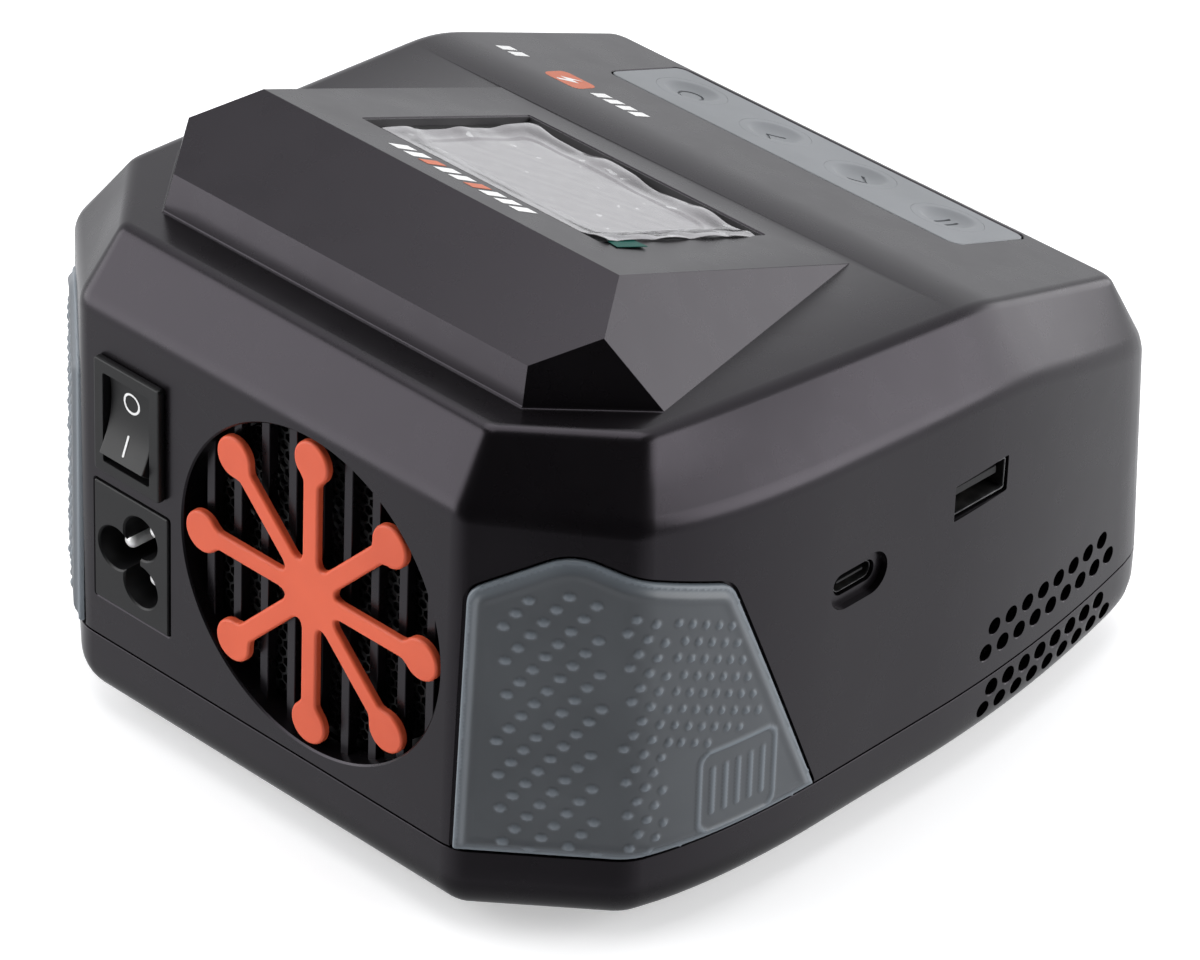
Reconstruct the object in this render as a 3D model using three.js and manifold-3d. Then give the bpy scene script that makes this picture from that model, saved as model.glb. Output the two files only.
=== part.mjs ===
// Balance battery charger: a two-part moulded case with a display block on top, rubber corner bumpers,
// four keypad buttons, a mains inlet with its rocker switch, a 60 mm fan, USB sockets and battery outputs.
//
// Millimetres, +Z up. The origin is under the middle of the charger, on the surface that it stands on.
// The user sits at -Y. The fan, the inlet and the switch are on the +Y face, the USB sockets on the -X face
// and the battery outputs on the -Y face.

import * as THREE from 'three';
import { ConvexGeometry } from 'three/addons/geometries/ConvexGeometry.js';
import { mergeVertices } from 'three/addons/utils/BufferGeometryUtils.js';
import Module from 'manifold-3d';

const wasm = await Module();
wasm.setup();

// ---------------------------------------------------------------- driving dimensions

const GAP = 0.3; // air between two pieces that touch
const DEG = Math.PI / 180;

const CASE = {
  halfWidth: 72.6,
  rearY: 76,
  frontY: -79,
  wall: 2.4,
  footHeight: 2,
  lowerHeight: 14.8,
  bottomRadius: 9.8,
  seamGap: 0.4,
};
const SEAM_Z = CASE.footHeight + CASE.lowerHeight;

// The two top planes meet at a bend across the charger: z = height + slope * (y - bendY).
const BEND = { y: -25.8, z: 86.7 };
const REAR_TOP_SLOPE = 0.0747;
const FRONT_TOP_SLOPE = 0.332;

// Half of the top's outline, +X side, from the rear edge to the front edge.
const TOP_CORNERS = [[42.4, 68], [59.4, 49.7], [63.5, BEND.y], [58.6, -67.8]];

// The shoulder bevel starts this far below the top planes, and the walls lean in a little towards it.
const SHOULDER = { rearDrop: 12.2, frontDrop: 11.5, widthScale: 0.99, frontScale: 0.965 };

// Display block on the rear top plane, +X side: ridge, side corner, rear lower edge, foot, side foot, front end.
const BLOCK_CORNERS = [
  [40.7, 37.7, 108.2], [48.4, 47.5, 103.6], [40.7, 58, 100.1],
  [40.9, 59.7, 90], [55.7, 42.2, 88], [40.5, -18.8, 84],
  [40.5, -18.8, 87.35], [55.7, 42.2, 91.86], [40.9, 59.7, 93.17],
];

const DISPLAY = {
  centreY: 7.75, centreZ: 97.16, slope: 20.22 * DEG,
  width: 54.6, length: 43.2, recessDepth: 3, windowThickness: 1.2, ledge: 3.8,
  moduleThickness: 4.5,
};
const FILM = { width: 50.5, length: 40, thickness: 0.25, shiftX: -1.4, tabWidth: 8, tabLength: 6 };

const KEYPAD = {
  centreY: -56.15, centreZ: 76.62, slope: Math.atan(FRONT_TOP_SLOPE),
  width: 82, length: 21, lip: 1.1, ledge: 2.5, thickness: 3.1, cornerRadius: 2.5,
};
const BUTTON = {
  radius: 6.6, flangeRadius: 7.6, flangeHeight: 1.2, proud: 0.3, clearance: 0.3, shiftY: -0.9,
  pitch: 20, stroke: 0.6, names: ['enter', 'next', 'previous', 'pause'],
};
const TACT = { size: 6.2, height: 3.4, plungerRadius: 1.7, plungerHeight: 1.1 };

const FAN = {
  x: -10.64, z: 50, openingRadius: 30, frameSize: 60, depth: 15, boreRadius: 28.8, bladeRadius: 27.8,
  hubRadius: 15, blades: 7, rearY: 70.2,
};
const SLAT = { pitch: 6.4, width: 1.6, frontInset: 2.4, depth: 1.8 };
const GUARD = { arms: 8, armWidth: 4, padRadius: 3.9, padDistance: 25.4, hubRadius: 5.5, thickness: 2.1 };
const SCREEN = { cell: 8.6, bar: 1.2, thickness: 1, radius: 29.2 };

const INLET = { x: 31.6, z: 36.9, width: 18, height: 23.2, depth: 24, cavityDepth: 15, pinRadius: 1.4 };
const LOBES = { earth: [-3.9, 0], live: [2.3, 4.8], neutral: [2.3, -4.8] }; // the inlet's three lobes
const LOBE_RADIUS = 4;

// The key is cut from a disc round its pivot; its front is a shallow V, and one half of it lies flat at rest.
const SWITCH = {
  x: 31.35, z: 62.8, width: 15.9, height: 22, bezel: 1.5, bodyWidth: 13.4, bodyHeight: 19.4, depth: 18,
  keyWidth: 10.6, keyRadius: 8.4, keyFront: 0.4, pivotZ: -3, tilt: 10 * DEG, trunnionRadius: 1,
};

const USB_A = { y: -19.5, z: 57.4, width: 13.5, height: 6.3, depth: 17 };
const USB_C = { y: 11, z: 53.2, slotWidth: 13.8, slotHeight: 8, slotDepth: 1.5, width: 9.2, height: 3.4, depth: 9 };
const USB_SHELL_WALL = 0.4;
const USB_BOARD = { x: -53, y: -5, z: 55, width: 58, height: 24 };
const OUTPUT = { x: 18, z: 38, width: 24, height: 14, depth: 17, wall: 2, contactPitch: 10.4, contactRadius: 2.2 };
const BALANCE = { x: -20, z: 38, width: 21, height: 6.2, depth: 10, wall: 0.9, pins: 7, pinPitch: 2.5, pinSize: 0.64 };

const VENT = { radius: 1.5, pitch: 4.8, rows: [[26.9, -26, 8], [22.4, -24, 9], [14.2, -26.5, 8], [10.4, -24.5, 9]] };

const BUMPER = { proud: 1.2, inset: 0.5, pocket: 0.8 };
// Upper edge of a bumper as [y, z], from the fan face round the corner to the side wall.
const BUMPER_EDGE = [
  [76, 66.5], [74, 69.5], [64.4, 74.2], [61.9, 73.6], [58.1, 71.1], [48.7, 68.9], [40.6, 65.2], [38.5, 63.1],
  [18, 16.1],
];

const SCREW = { headRadius: 2.8, headHeight: 2.1, shaftRadius: 1.45, length: 16, places: [[58, 38], [55, -58]] };
const FOOT = { radius: 6, recess: 0.8, places: [[46, 48], [46, -52]] };
const BOARD = { width: 100, rearY: 52, frontY: -66, thickness: 1.6, standoff: 4, screws: [[44, 46], [44, -58]] };

// ---------------------------------------------------------------- helpers

function solid(geometry) {
  const bare = geometry.index ? geometry.toNonIndexed() : geometry.clone();
  bare.deleteAttribute('normal');
  bare.deleteAttribute('uv');
  const merged = mergeVertices(bare, 1e-4);
  return new wasm.Manifold(new wasm.Mesh({
    numProp: 3,
    vertProperties: new Float32Array(merged.attributes.position.array),
    triVerts: new Uint32Array(merged.index.array),
  }));
}

function geometryOf(manifold) {
  const { vertProperties, triVerts } = manifold.getMesh();
  const geometry = new THREE.BufferGeometry();
  geometry.setAttribute('position', new THREE.BufferAttribute(vertProperties, 3));
  geometry.setIndex(new THREE.BufferAttribute(triVerts, 1));
  return geometry;
}

// Joins and cuts geometries: the first, plus everything in add, minus everything in remove.
function shaped(first, { add = [], remove = [] }) {
  const joined = add.reduce((total, piece) => total.add(solid(piece)), solid(first));
  return geometryOf(remove.reduce((total, piece) => total.subtract(solid(piece)), joined));
}

function common(first, second) {
  return geometryOf(solid(first).intersect(solid(second)));
}

function box(width, depth, height, x = 0, y = 0, z = 0) {
  return new THREE.BoxGeometry(width, depth, height).translate(x, y, z);
}

// A cylinder along local Z from z = bottom to z = bottom + height.
function post(radius, height, x = 0, y = 0, bottom = 0, sides = 24) {
  return new THREE.CylinderGeometry(radius, radius, height, sides)
    .rotateX(Math.PI / 2)
    .translate(x, y, bottom + height / 2);
}

// A profile of [radius, height] points from the lowest to the highest, turned round local Z.
function turned(profile, sides) {
  return new THREE.LatheGeometry(profile.map(([r, h]) => new THREE.Vector2(r, h)), sides).rotateX(Math.PI / 2);
}

// A shape in local XY, extruded along local Z from z = bottom.
function prism(shape, height, bottom = 0, curveSegments = 6) {
  return new THREE.ExtrudeGeometry(shape, { depth: height, bevelEnabled: false, curveSegments })
    .translate(0, 0, bottom);
}

function polygon(points) {
  return new THREE.Shape(points.map(([x, y]) => new THREE.Vector2(x, y)));
}

function roundedRectangle(width, height, radius) {
  const shape = new THREE.Shape();
  const x = width / 2 - radius;
  const y = height / 2 - radius;
  shape.absarc(x, y, radius, 0, Math.PI / 2);
  shape.absarc(-x, y, radius, Math.PI / 2, Math.PI);
  shape.absarc(-x, -y, radius, Math.PI, 1.5 * Math.PI);
  shape.absarc(x, -y, radius, 1.5 * Math.PI, 2 * Math.PI);
  shape.closePath();
  return shape;
}

function stadium(width, height) {
  return roundedRectangle(width, height, height / 2 - 0.01);
}

// A shape in local YZ, extruded along local X and centred on it.
function crossPrism(shape, width, curveSegments = 6) {
  return prism(shape, width, -width / 2, curveSegments).rotateX(Math.PI / 2).rotateZ(Math.PI / 2);
}

function hull(points) {
  return new ConvexGeometry(points.map(([x, y, z]) => new THREE.Vector3(x, y, z)));
}

// A geometry drawn in a group's own frame, moved to the charger's frame.
function inCase(geometry, group) {
  return geometry.clone().applyMatrix4(group.matrixWorld);
}

function mirrored(points) {
  return [...points, ...points.map(([x, ...rest]) => [-x, ...rest])];
}

const charger = new THREE.Group();

// A frame on one of the charger's faces, whose local +Z points out of the face.
function faceFrame(x, y, z, rotationX, rotationY, rotationZ) {
  const group = new THREE.Group();
  group.position.set(x, y, z);
  group.rotation.set(rotationX, rotationY, rotationZ);
  charger.add(group);
  group.updateWorldMatrix(true, false);
  return group;
}

const rearFrame = (x, z) => faceFrame(x, CASE.rearY, z, -Math.PI / 2, 0, Math.PI);
const sideFrame = (y, z) => faceFrame(-CASE.halfWidth, y, z, Math.PI / 2, -Math.PI / 2, 0);
const frontFrame = (x, z) => faceFrame(x, CASE.frontY, z, Math.PI / 2, 0, 0);

const displayFrame = faceFrame(0, DISPLAY.centreY, DISPLAY.centreZ, DISPLAY.slope, 0, 0);
const keypadFrame = faceFrame(0, KEYPAD.centreY, KEYPAD.centreZ, KEYPAD.slope, 0, 0);
const fanFrame = rearFrame(FAN.x, FAN.z);
const inletFrame = rearFrame(INLET.x, INLET.z);
const switchFrame = rearFrame(SWITCH.x, SWITCH.z);
const usbAFrame = sideFrame(USB_A.y, USB_A.z);
const usbCFrame = sideFrame(USB_C.y, USB_C.z);
const outputFrame = frontFrame(OUTPUT.x, OUTPUT.z);
const balanceFrame = frontFrame(BALANCE.x, BALANCE.z);

// ---------------------------------------------------------------- materials

const plastic = (color, roughness = 0.45) => ({ color, roughness, metalness: 0 });
const metal = (color, roughness = 0.35) => ({ color, roughness, metalness: 1 });

const FINISH = {
  shell: plastic(0x252427),
  rubber: plastic(0x5a6167, 0.75),
  keypad: plastic(0x96999c, 0.55),
  orange: plastic(0xe4674b),
  black: plastic(0x151517, 0.5),
  board: plastic(0x1f5a3a, 0.6),
  copper: metal(0xb87333),
  steel: metal(0xc9ccd0),
  brass: metal(0xd8b45a),
  aluminium: metal(0xaab0b5, 0.5),
  ferrite: plastic(0x3b3a3d, 0.8),
  window: plastic(0x14181a, 0.1),
  film: { color: 0xe6e9eb, roughness: 0.2, metalness: 0, transparent: true, opacity: 0.5 },
  tab: plastic(0x0f7a5c, 0.4),
};

function addPiece(name, geometry, finish, parent = charger) {
  const mesh = new THREE.Mesh(geometry, new THREE.MeshStandardMaterial(FINISH[finish]));
  mesh.name = name;
  parent.add(mesh);
  return mesh;
}

// ---------------------------------------------------------------- the case's form

// Half of the plan outline at the seam, +X side, from the rear face to the front face.
function halfOutline() {
  const path = new THREE.Path();
  path.moveTo(44.5, CASE.rearY);
  path.lineTo(66.5, 57.5);
  path.quadraticCurveTo(72.2, 44, CASE.halfWidth, 18);
  path.lineTo(CASE.halfWidth, -10);
  path.quadraticCurveTo(CASE.halfWidth, -38.5, 66, -68.5);
  path.quadraticCurveTo(63.6, CASE.frontY, 54, CASE.frontY);
  return path.getPoints(4).map((point) => [point.x, point.y]);
}

const PLAN = (() => {
  const half = halfOutline();
  return [...half, ...half.map(([x, y]) => [-x, y]).reverse()];
})();

// A closed clockwise outline moved inwards by a distance, or outwards by a negative one.
function inset(outline, distance) {
  return outline.map((point, i) => {
    const before = outline[(i + outline.length - 1) % outline.length];
    const after = outline[(i + 1) % outline.length];
    const normals = [[before, point], [point, after]].map(([a, b]) => {
      const length = Math.hypot(b[0] - a[0], b[1] - a[1]);
      return [(b[1] - a[1]) / length, -(b[0] - a[0]) / length];
    });
    const sum = [normals[0][0] + normals[1][0], normals[0][1] + normals[1][1]];
    const scale = (2 * distance) / (sum[0] ** 2 + sum[1] ** 2);
    return [point[0] + sum[0] * scale, point[1] + sum[1] * scale];
  });
}

function topHeight(y) {
  const slope = y > BEND.y ? REAR_TOP_SLOPE : FRONT_TOP_SLOPE;
  return BEND.z + slope * (y - BEND.y);
}

function shoulderHeight(y) {
  const drop = y > BEND.y ? SHOULDER.rearDrop : SHOULDER.frontDrop;
  return topHeight(y) - drop;
}

// The upper case as a solid form, with every face moved inwards by a thickness.
function upperForm(thickness, bottomZ) {
  const wallFoot = inset(PLAN, thickness);
  const shoulder = wallFoot.map(([x, y]) => [
    x * SHOULDER.widthScale,
    y < 0 ? y * SHOULDER.frontScale : y,
  ]);
  const top = mirrored(TOP_CORNERS.map(([x, y]) => [x - thickness * 0.6, y - Math.sign(y) * thickness * 0.6]));
  return hull([
    ...wallFoot.map(([x, y]) => [x, y, bottomZ]),
    ...shoulder.map(([x, y]) => [x, y, shoulderHeight(y) - thickness * 0.6]),
    ...top.map(([x, y]) => [x, y, topHeight(y) - thickness]),
  ]);
}

// The lower tray as a solid form: a short straight wall over a quarter-round bottom edge in a few steps.
function lowerForm(thickness, topZ, steps) {
  const radius = CASE.bottomRadius - thickness;
  const bottomZ = CASE.footHeight + thickness;
  const wallFoot = inset(PLAN, thickness);
  const loops = [wallFoot.map(([x, y]) => [x, y, topZ])];
  for (let step = 0; step <= steps; step += 1) {
    const angle = (step / steps) * (Math.PI / 2);
    const loop = inset(PLAN, thickness + radius * (1 - Math.cos(angle)));
    const z = bottomZ + radius * (1 - Math.sin(angle));
    loops.push(loop.map(([x, y]) => [x, y, z]));
  }
  return hull(loops.flat());
}

// The display block as a solid form; shrink is 1 for the outside.
function blockForm(shrink) {
  const centre = [0, 15, 60];
  return hull(mirrored(BLOCK_CORNERS).map((corner) => corner.map((value, i) => (
    centre[i] + (value - centre[i]) * shrink
  ))));
}

// The vent holes' cutters, through both side walls.
function ventCutters(rows) {
  return rows.flatMap(([z, firstY, count]) => Array.from({ length: count }, (_, i) => (
    post(VENT.radius, 2 * CASE.halfWidth + 10, 0, 0, -CASE.halfWidth - 5, 6)
      .rotateY(Math.PI / 2)
      .translate(0, firstY - i * VENT.pitch, z)
  )));
}

const fourPlaces = (places) => places.flatMap(([x, y]) => [[x, y], [-x, y]]);

// ---------------------------------------------------------------- bumpers

// The band of space that a bumper fills, from depth inside the wall to proud outside it.
function bumperForm(side, depth, proud, margin) {
  const band = polygon(inset(PLAN, -proud).reverse());
  band.holes.push(polygon(inset(PLAN, depth).reverse()));
  const bottomZ = SEAM_Z + CASE.seamGap - margin;
  const profile = polygon([
    [CASE.rearY + 5, bottomZ], [CASE.rearY + 5, BUMPER_EDGE[0][1] + margin],
    ...BUMPER_EDGE.slice(1, -1).map(([y, z]) => [y - margin, z + margin]),
    [BUMPER_EDGE.at(-1)[0] - margin, bottomZ],
  ]);
  const sideView = prism(profile, 32 + margin)
    .rotateX(Math.PI / 2)
    .rotateZ(Math.PI / 2)
    .translate(side > 0 ? 44.9 - margin : -76.9, 0, 0);
  return common(prism(band, 90), sideView);
}

for (const [name, side] of [['left', -1], ['right', 1]]) {
  addPiece(`bumper_${name}`, bumperForm(side, BUMPER.inset, BUMPER.proud, 0), 'rubber');
}

// ---------------------------------------------------------------- upper shell

function fanSlats() {
  const slats = [];
  const reach = Math.floor(FAN.openingRadius / SLAT.pitch);
  for (let i = -reach; i <= reach; i += 1) {
    const x = i * SLAT.pitch;
    const height = 2 * Math.sqrt((FAN.openingRadius + 0.6) ** 2 - x ** 2);
    slats.push(box(SLAT.width, height, SLAT.depth, x, 0, -SLAT.frontInset - SLAT.depth / 2));
  }
  return slats;
}

function upperShell() {
  const bottomZ = SEAM_Z + CASE.seamGap;
  const outside = solid(upperForm(0, bottomZ)).add(solid(blockForm(1)));
  const cavity = solid(upperForm(CASE.wall, bottomZ - 1)).add(solid(blockForm(0.9)));
  const posts = fourPlaces(SCREW.places).map(([x, y]) => post(4, 100, x, y, SEAM_Z + 4.6, 12));
  const rim = shaped(post(FAN.openingRadius + 2, 4.6, 0, 0, -4.8, 40), {
    remove: [post(FAN.openingRadius, 10, 0, 0, -8, 40)],
  });
  const inner = [...posts, inCase(rim, fanFrame)].map(solid);

  let shell = outside.subtract(cavity);
  for (const piece of inner) {
    shell = shell.add(piece.intersect(outside));
  }

  const openings = [
    inCase(post(FAN.openingRadius, 20, 0, 0, -10, 40), fanFrame),
    inCase(box(INLET.width + 2 * GAP, INLET.height + 2 * GAP, 12), inletFrame),
    inCase(box(SWITCH.bodyWidth + 2 * GAP, SWITCH.bodyHeight + 2 * GAP, 12), switchFrame),
    inCase(box(USB_A.width + 2 * GAP, USB_A.height + 2 * GAP, 12), usbAFrame),
    inCase(prism(stadium(USB_C.slotWidth, USB_C.slotHeight), 6, -USB_C.slotDepth), usbCFrame),
    inCase(prism(stadium(USB_C.width + 2 * GAP, USB_C.height + 2 * GAP), 12, -6), usbCFrame),
    inCase(box(OUTPUT.width + 2 * GAP, OUTPUT.height + 2 * GAP, 16), outputFrame),
    inCase(box(BALANCE.width + 2 * GAP, BALANCE.height + 2 * GAP, 16), balanceFrame),
    inCase(box(DISPLAY.width, DISPLAY.length, 2 * DISPLAY.recessDepth), displayFrame),
    inCase(box(DISPLAY.width - 2 * DISPLAY.ledge, DISPLAY.length - 2 * DISPLAY.ledge, 20), displayFrame),
    inCase(prism(roundedRectangle(KEYPAD.width, KEYPAD.length, KEYPAD.cornerRadius), 4, -KEYPAD.lip - GAP), keypadFrame),
    inCase(box(KEYPAD.width - 2 * KEYPAD.ledge, KEYPAD.length - 2 * KEYPAD.ledge, 12), keypadFrame),
    ...fourPlaces(SCREW.places).map(([x, y]) => post(SCREW.shaftRadius + 0.1, 16, x, y, SEAM_Z, 12)),
    ...[-1, 1].map((side) => bumperForm(side, BUMPER.pocket, BUMPER.proud + 1, GAP)),
    ...ventCutters(VENT.rows.slice(0, 2)),
  ];
  for (const opening of openings) {
    shell = shell.subtract(solid(opening));
  }
  for (const slat of fanSlats()) {
    shell = shell.add(solid(inCase(slat, fanFrame)));
  }
  return geometryOf(shell);
}

addPiece('upper_shell', upperShell(), 'shell');

// ---------------------------------------------------------------- lower shell, screws and feet

const FLOOR_Z = CASE.footHeight + CASE.wall;
const BOSS_TOP_Z = SEAM_Z + 4;
const HEAD_SEAT_Z = 12;

function lowerShell() {
  const outside = solid(lowerForm(0, SEAM_Z, 3));
  const cavity = solid(lowerForm(CASE.wall, SEAM_Z + 1, 1));
  const bosses = fourPlaces(SCREW.places).map(([x, y]) => post(5, BOSS_TOP_Z - FLOOR_Z + 1, x, y, FLOOR_Z - 1, 16));
  const standoffs = fourPlaces(BOARD.screws).map(([x, y]) => post(3.5, BOARD.standoff + 1, x, y, FLOOR_Z - 1, 12));
  const openings = [
    ...fourPlaces(SCREW.places).flatMap(([x, y]) => [
      post(SCREW.headRadius + 0.4, HEAD_SEAT_Z + 1, x, y, -1, 16),
      post(SCREW.shaftRadius + 0.3, 40, x, y, -1, 12),
    ]),
    ...fourPlaces(BOARD.screws).map(([x, y]) => post(1.6, 4.2, x, y, FLOOR_Z, 12)),
    ...fourPlaces(FOOT.places).map(([x, y]) => post(FOOT.radius + GAP, 2 + FOOT.recess, x, y, 0, 24)),
    ...ventCutters(VENT.rows.slice(2)),
  ];
  let shell = outside.subtract(cavity);
  for (const piece of [...bosses, ...standoffs]) {
    shell = shell.add(solid(piece));
  }
  for (const opening of openings) {
    shell = shell.subtract(solid(opening));
  }
  return geometryOf(shell);
}

addPiece('lower_shell', lowerShell(), 'shell');

fourPlaces(SCREW.places).forEach(([x, y], i) => {
  const head = post(SCREW.headRadius, SCREW.headHeight, 0, 0, -SCREW.headHeight, 16);
  const screw = shaped(head, {
    add: [post(SCREW.shaftRadius - 0.2, SCREW.length, 0, 0, -0.5, 10)],
    remove: [box(4, 0.8, 2, 0, 0, -SCREW.headHeight), box(0.8, 4, 2, 0, 0, -SCREW.headHeight)],
  });
  addPiece(`case_screw_${i + 1}`, screw, 'steel').position.set(x, y, HEAD_SEAT_Z - GAP);
});

fourPlaces(FOOT.places).forEach(([x, y], i) => {
  const height = CASE.footHeight + FOOT.recess - GAP;
  const profile = [[0, 0], [FOOT.radius - 0.8, 0], [FOOT.radius, 0.8], [FOOT.radius, height], [0, height]];
  addPiece(`foot_${i + 1}`, turned(profile, 20), 'black').position.set(x, y, 0);
});

// ---------------------------------------------------------------- display

const windowZ = -DISPLAY.recessDepth + GAP;
addPiece(
  'display_window',
  prism(roundedRectangle(DISPLAY.width - 2 * GAP, DISPLAY.length - 2 * GAP, 1), DISPLAY.windowThickness),
  'window',
  displayFrame,
).position.set(0, 0, windowZ);

addPiece(
  'display_module',
  shaped(box(44.5, 33.5, DISPLAY.moduleThickness), { add: [box(36, 26, 1.6, 0, 0, -DISPLAY.moduleThickness / 2)] }),
  'black',
  displayFrame,
).position.set(0, 0, windowZ - GAP - DISPLAY.moduleThickness / 2);

const filmZ = windowZ + DISPLAY.windowThickness + GAP;
addPiece('screen_film', box(FILM.width, FILM.length, FILM.thickness), 'film', displayFrame)
  .position.set(FILM.shiftX, 0, filmZ + FILM.thickness / 2);
addPiece('film_tab', box(FILM.tabWidth, FILM.tabLength, FILM.thickness), 'tab', displayFrame)
  .position.set(-20, 15, filmZ + 1.5 * FILM.thickness + GAP);

// ---------------------------------------------------------------- keypad

const buttonPlaces = BUTTON.names.map((_, i) => [(1.5 - i) * BUTTON.pitch, BUTTON.shiftY]);

function keypadStrip() {
  const lip = prism(
    roundedRectangle(KEYPAD.width - 2 * GAP, KEYPAD.length - 2 * GAP, KEYPAD.cornerRadius),
    KEYPAD.lip,
    -KEYPAD.lip,
  );
  const plugWidth = KEYPAD.width - 2 * KEYPAD.ledge - 2 * GAP;
  const plugLength = KEYPAD.length - 2 * KEYPAD.ledge - 2 * GAP;
  const plug = box(plugWidth, plugLength, KEYPAD.thickness - 0.5, 0, 0, -(KEYPAD.thickness + 0.5) / 2);
  const holes = buttonPlaces.map(([x, y]) => post(BUTTON.radius + BUTTON.clearance, 10, x, y, -8, 16));
  return shaped(lip, { add: [plug], remove: holes });
}

addPiece('keypad_strip', keypadStrip(), 'keypad', keypadFrame);

// A round cap with a dished top, on a wider flange that stops it under the strip.
function buttonGeometry() {
  const flangeTop = -KEYPAD.thickness - GAP;
  const profile = [
    [0, flangeTop - BUTTON.flangeHeight], [BUTTON.flangeRadius, flangeTop - BUTTON.flangeHeight],
    [BUTTON.flangeRadius, flangeTop], [BUTTON.radius, flangeTop], [BUTTON.radius, BUTTON.proud - 0.4],
    [BUTTON.radius - 0.5, BUTTON.proud], [BUTTON.radius * 0.6, BUTTON.proud - 0.45], [0, BUTTON.proud - 0.7],
  ];
  return turned(profile, 16);
}

const flangeBottom = -KEYPAD.thickness - GAP - BUTTON.flangeHeight;
const tactTop = flangeBottom - BUTTON.stroke - GAP;
const keypadBoardTop = tactTop - TACT.plungerHeight - TACT.height - GAP;

buttonPlaces.forEach(([x, y], i) => {
  addPiece(`button_${BUTTON.names[i]}`, buttonGeometry(), 'keypad', keypadFrame).position.set(x, y, 0);
  const tact = shaped(box(TACT.size, TACT.size, TACT.height, 0, 0, TACT.height / 2), {
    add: [post(TACT.plungerRadius, TACT.plungerHeight + 0.5, 0, 0, TACT.height - 0.5, 12)],
  });
  addPiece(`tact_switch_${i + 1}`, tact, 'black', keypadFrame).position.set(x, y, keypadBoardTop + GAP);
});

addPiece('keypad_board', box(84, 19, 1.6), 'board', keypadFrame).position.set(0, 1, keypadBoardTop - 0.8);

// ---------------------------------------------------------------- fan

const FAN_FRONT = FAN.rearY - CASE.rearY; // the fan's outer face, in the rear frame

// The square frame with its bore and screw holes, and the motor plate on three struts.
function fanStator() {
  const corner = FAN.frameSize / 2 - 5;
  const holes = fourPlaces([[corner, corner], [corner, -corner]]).map(([x, y]) => post(2.1, 30, x, y, -25, 10));
  const ring = solid(shaped(prism(roundedRectangle(FAN.frameSize, FAN.frameSize, 4), FAN.depth, -FAN.depth, 3), {
    remove: [post(FAN.boreRadius, 40, 0, 0, -30, 32), ...holes],
  }));
  const motorPlate = solid(post(13, 2, 0, 0, -FAN.depth, 24));
  const spindle = solid(post(1.5, FAN.depth - 4, 0, 0, -FAN.depth + 1, 12));
  const struts = [45, 165, 285].map((angle) => (
    solid(box(FAN.boreRadius - 8, 3, 2, FAN.boreRadius / 2 + 6, 0, -FAN.depth + 1).rotateZ(angle * DEG))
  ));
  return geometryOf(struts.reduce((total, strut) => total.add(strut), ring.add(motorPlate).add(spindle)));
}

addPiece('fan_frame', fanStator(), 'black', fanFrame).position.set(0, 0, FAN_FRONT);

// A hub cup over the spindle with pitched blades round it.
function rotor() {
  const blades = [];
  const length = FAN.bladeRadius - FAN.hubRadius + 1;
  for (let i = 0; i < FAN.blades; i += 1) {
    const blade = box(length, 16, 1.4, FAN.hubRadius - 1 + length / 2, 0, 0)
      .rotateX(32 * DEG)
      .rotateZ((i / FAN.blades) * 2 * Math.PI)
      .translate(0, 0, -FAN.depth / 2 + 1.4);
    blades.push(blade);
  }
  const hub = post(FAN.hubRadius, FAN.depth - 4, 0, 0, -FAN.depth + 3, 21);
  const disc = post(FAN.bladeRadius, FAN.depth - 3.5, 0, 0, -FAN.depth + 2.8, 28);
  const wheel = solid(shaped(hub, { add: blades })).intersect(solid(disc));
  const bearing = solid(post(1.5 + GAP, FAN.depth - 4, 0, 0, -FAN.depth + 1.4, 12));
  return geometryOf(wheel.subtract(bearing));
}

addPiece('fan_rotor', rotor(), 'black', fanFrame).position.set(0, 0, FAN_FRONT);

function guard() {
  const arms = Array.from({ length: GUARD.arms }, (_, i) => (
    shaped(box(GUARD.padDistance, GUARD.armWidth, GUARD.thickness, GUARD.padDistance / 2, 0, 0), {
      add: [post(GUARD.padRadius, GUARD.thickness, GUARD.padDistance, 0, -GUARD.thickness / 2, 12)],
    }).rotateZ((i / GUARD.arms) * 2 * Math.PI)
  ));
  return shaped(post(GUARD.hubRadius, GUARD.thickness, 0, 0, -GUARD.thickness / 2, 24), { add: arms });
}

addPiece('fan_guard', guard(), 'orange', fanFrame)
  .position.set(0, 0, -SLAT.frontInset + GAP + GUARD.thickness / 2);

function dustScreen() {
  const holes = [];
  const rowPitch = (SCREEN.cell * Math.sqrt(3)) / 2;
  const radius = (SCREEN.cell - SCREEN.bar) / Math.sqrt(3);
  const rows = Math.floor(SCREEN.radius / rowPitch);
  for (let row = -rows; row <= rows; row += 1) {
    const y = row * rowPitch;
    const shift = row % 2 === 0 ? 0 : SCREEN.cell / 2;
    for (let column = -6; column <= 6; column += 1) {
      const x = column * SCREEN.cell + shift;
      if (Math.hypot(x, y) < SCREEN.radius - SCREEN.cell * 0.6) {
        holes.push(post(radius, 4, x, y, -2, 6));
      }
    }
  }
  return shaped(post(SCREEN.radius, SCREEN.thickness, 0, 0, -SCREEN.thickness, 36), { remove: holes });
}

addPiece('dust_screen', dustScreen(), 'black', fanFrame)
  .position.set(0, 0, -SLAT.frontInset - SLAT.depth - GAP);

// ---------------------------------------------------------------- mains inlet

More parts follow.
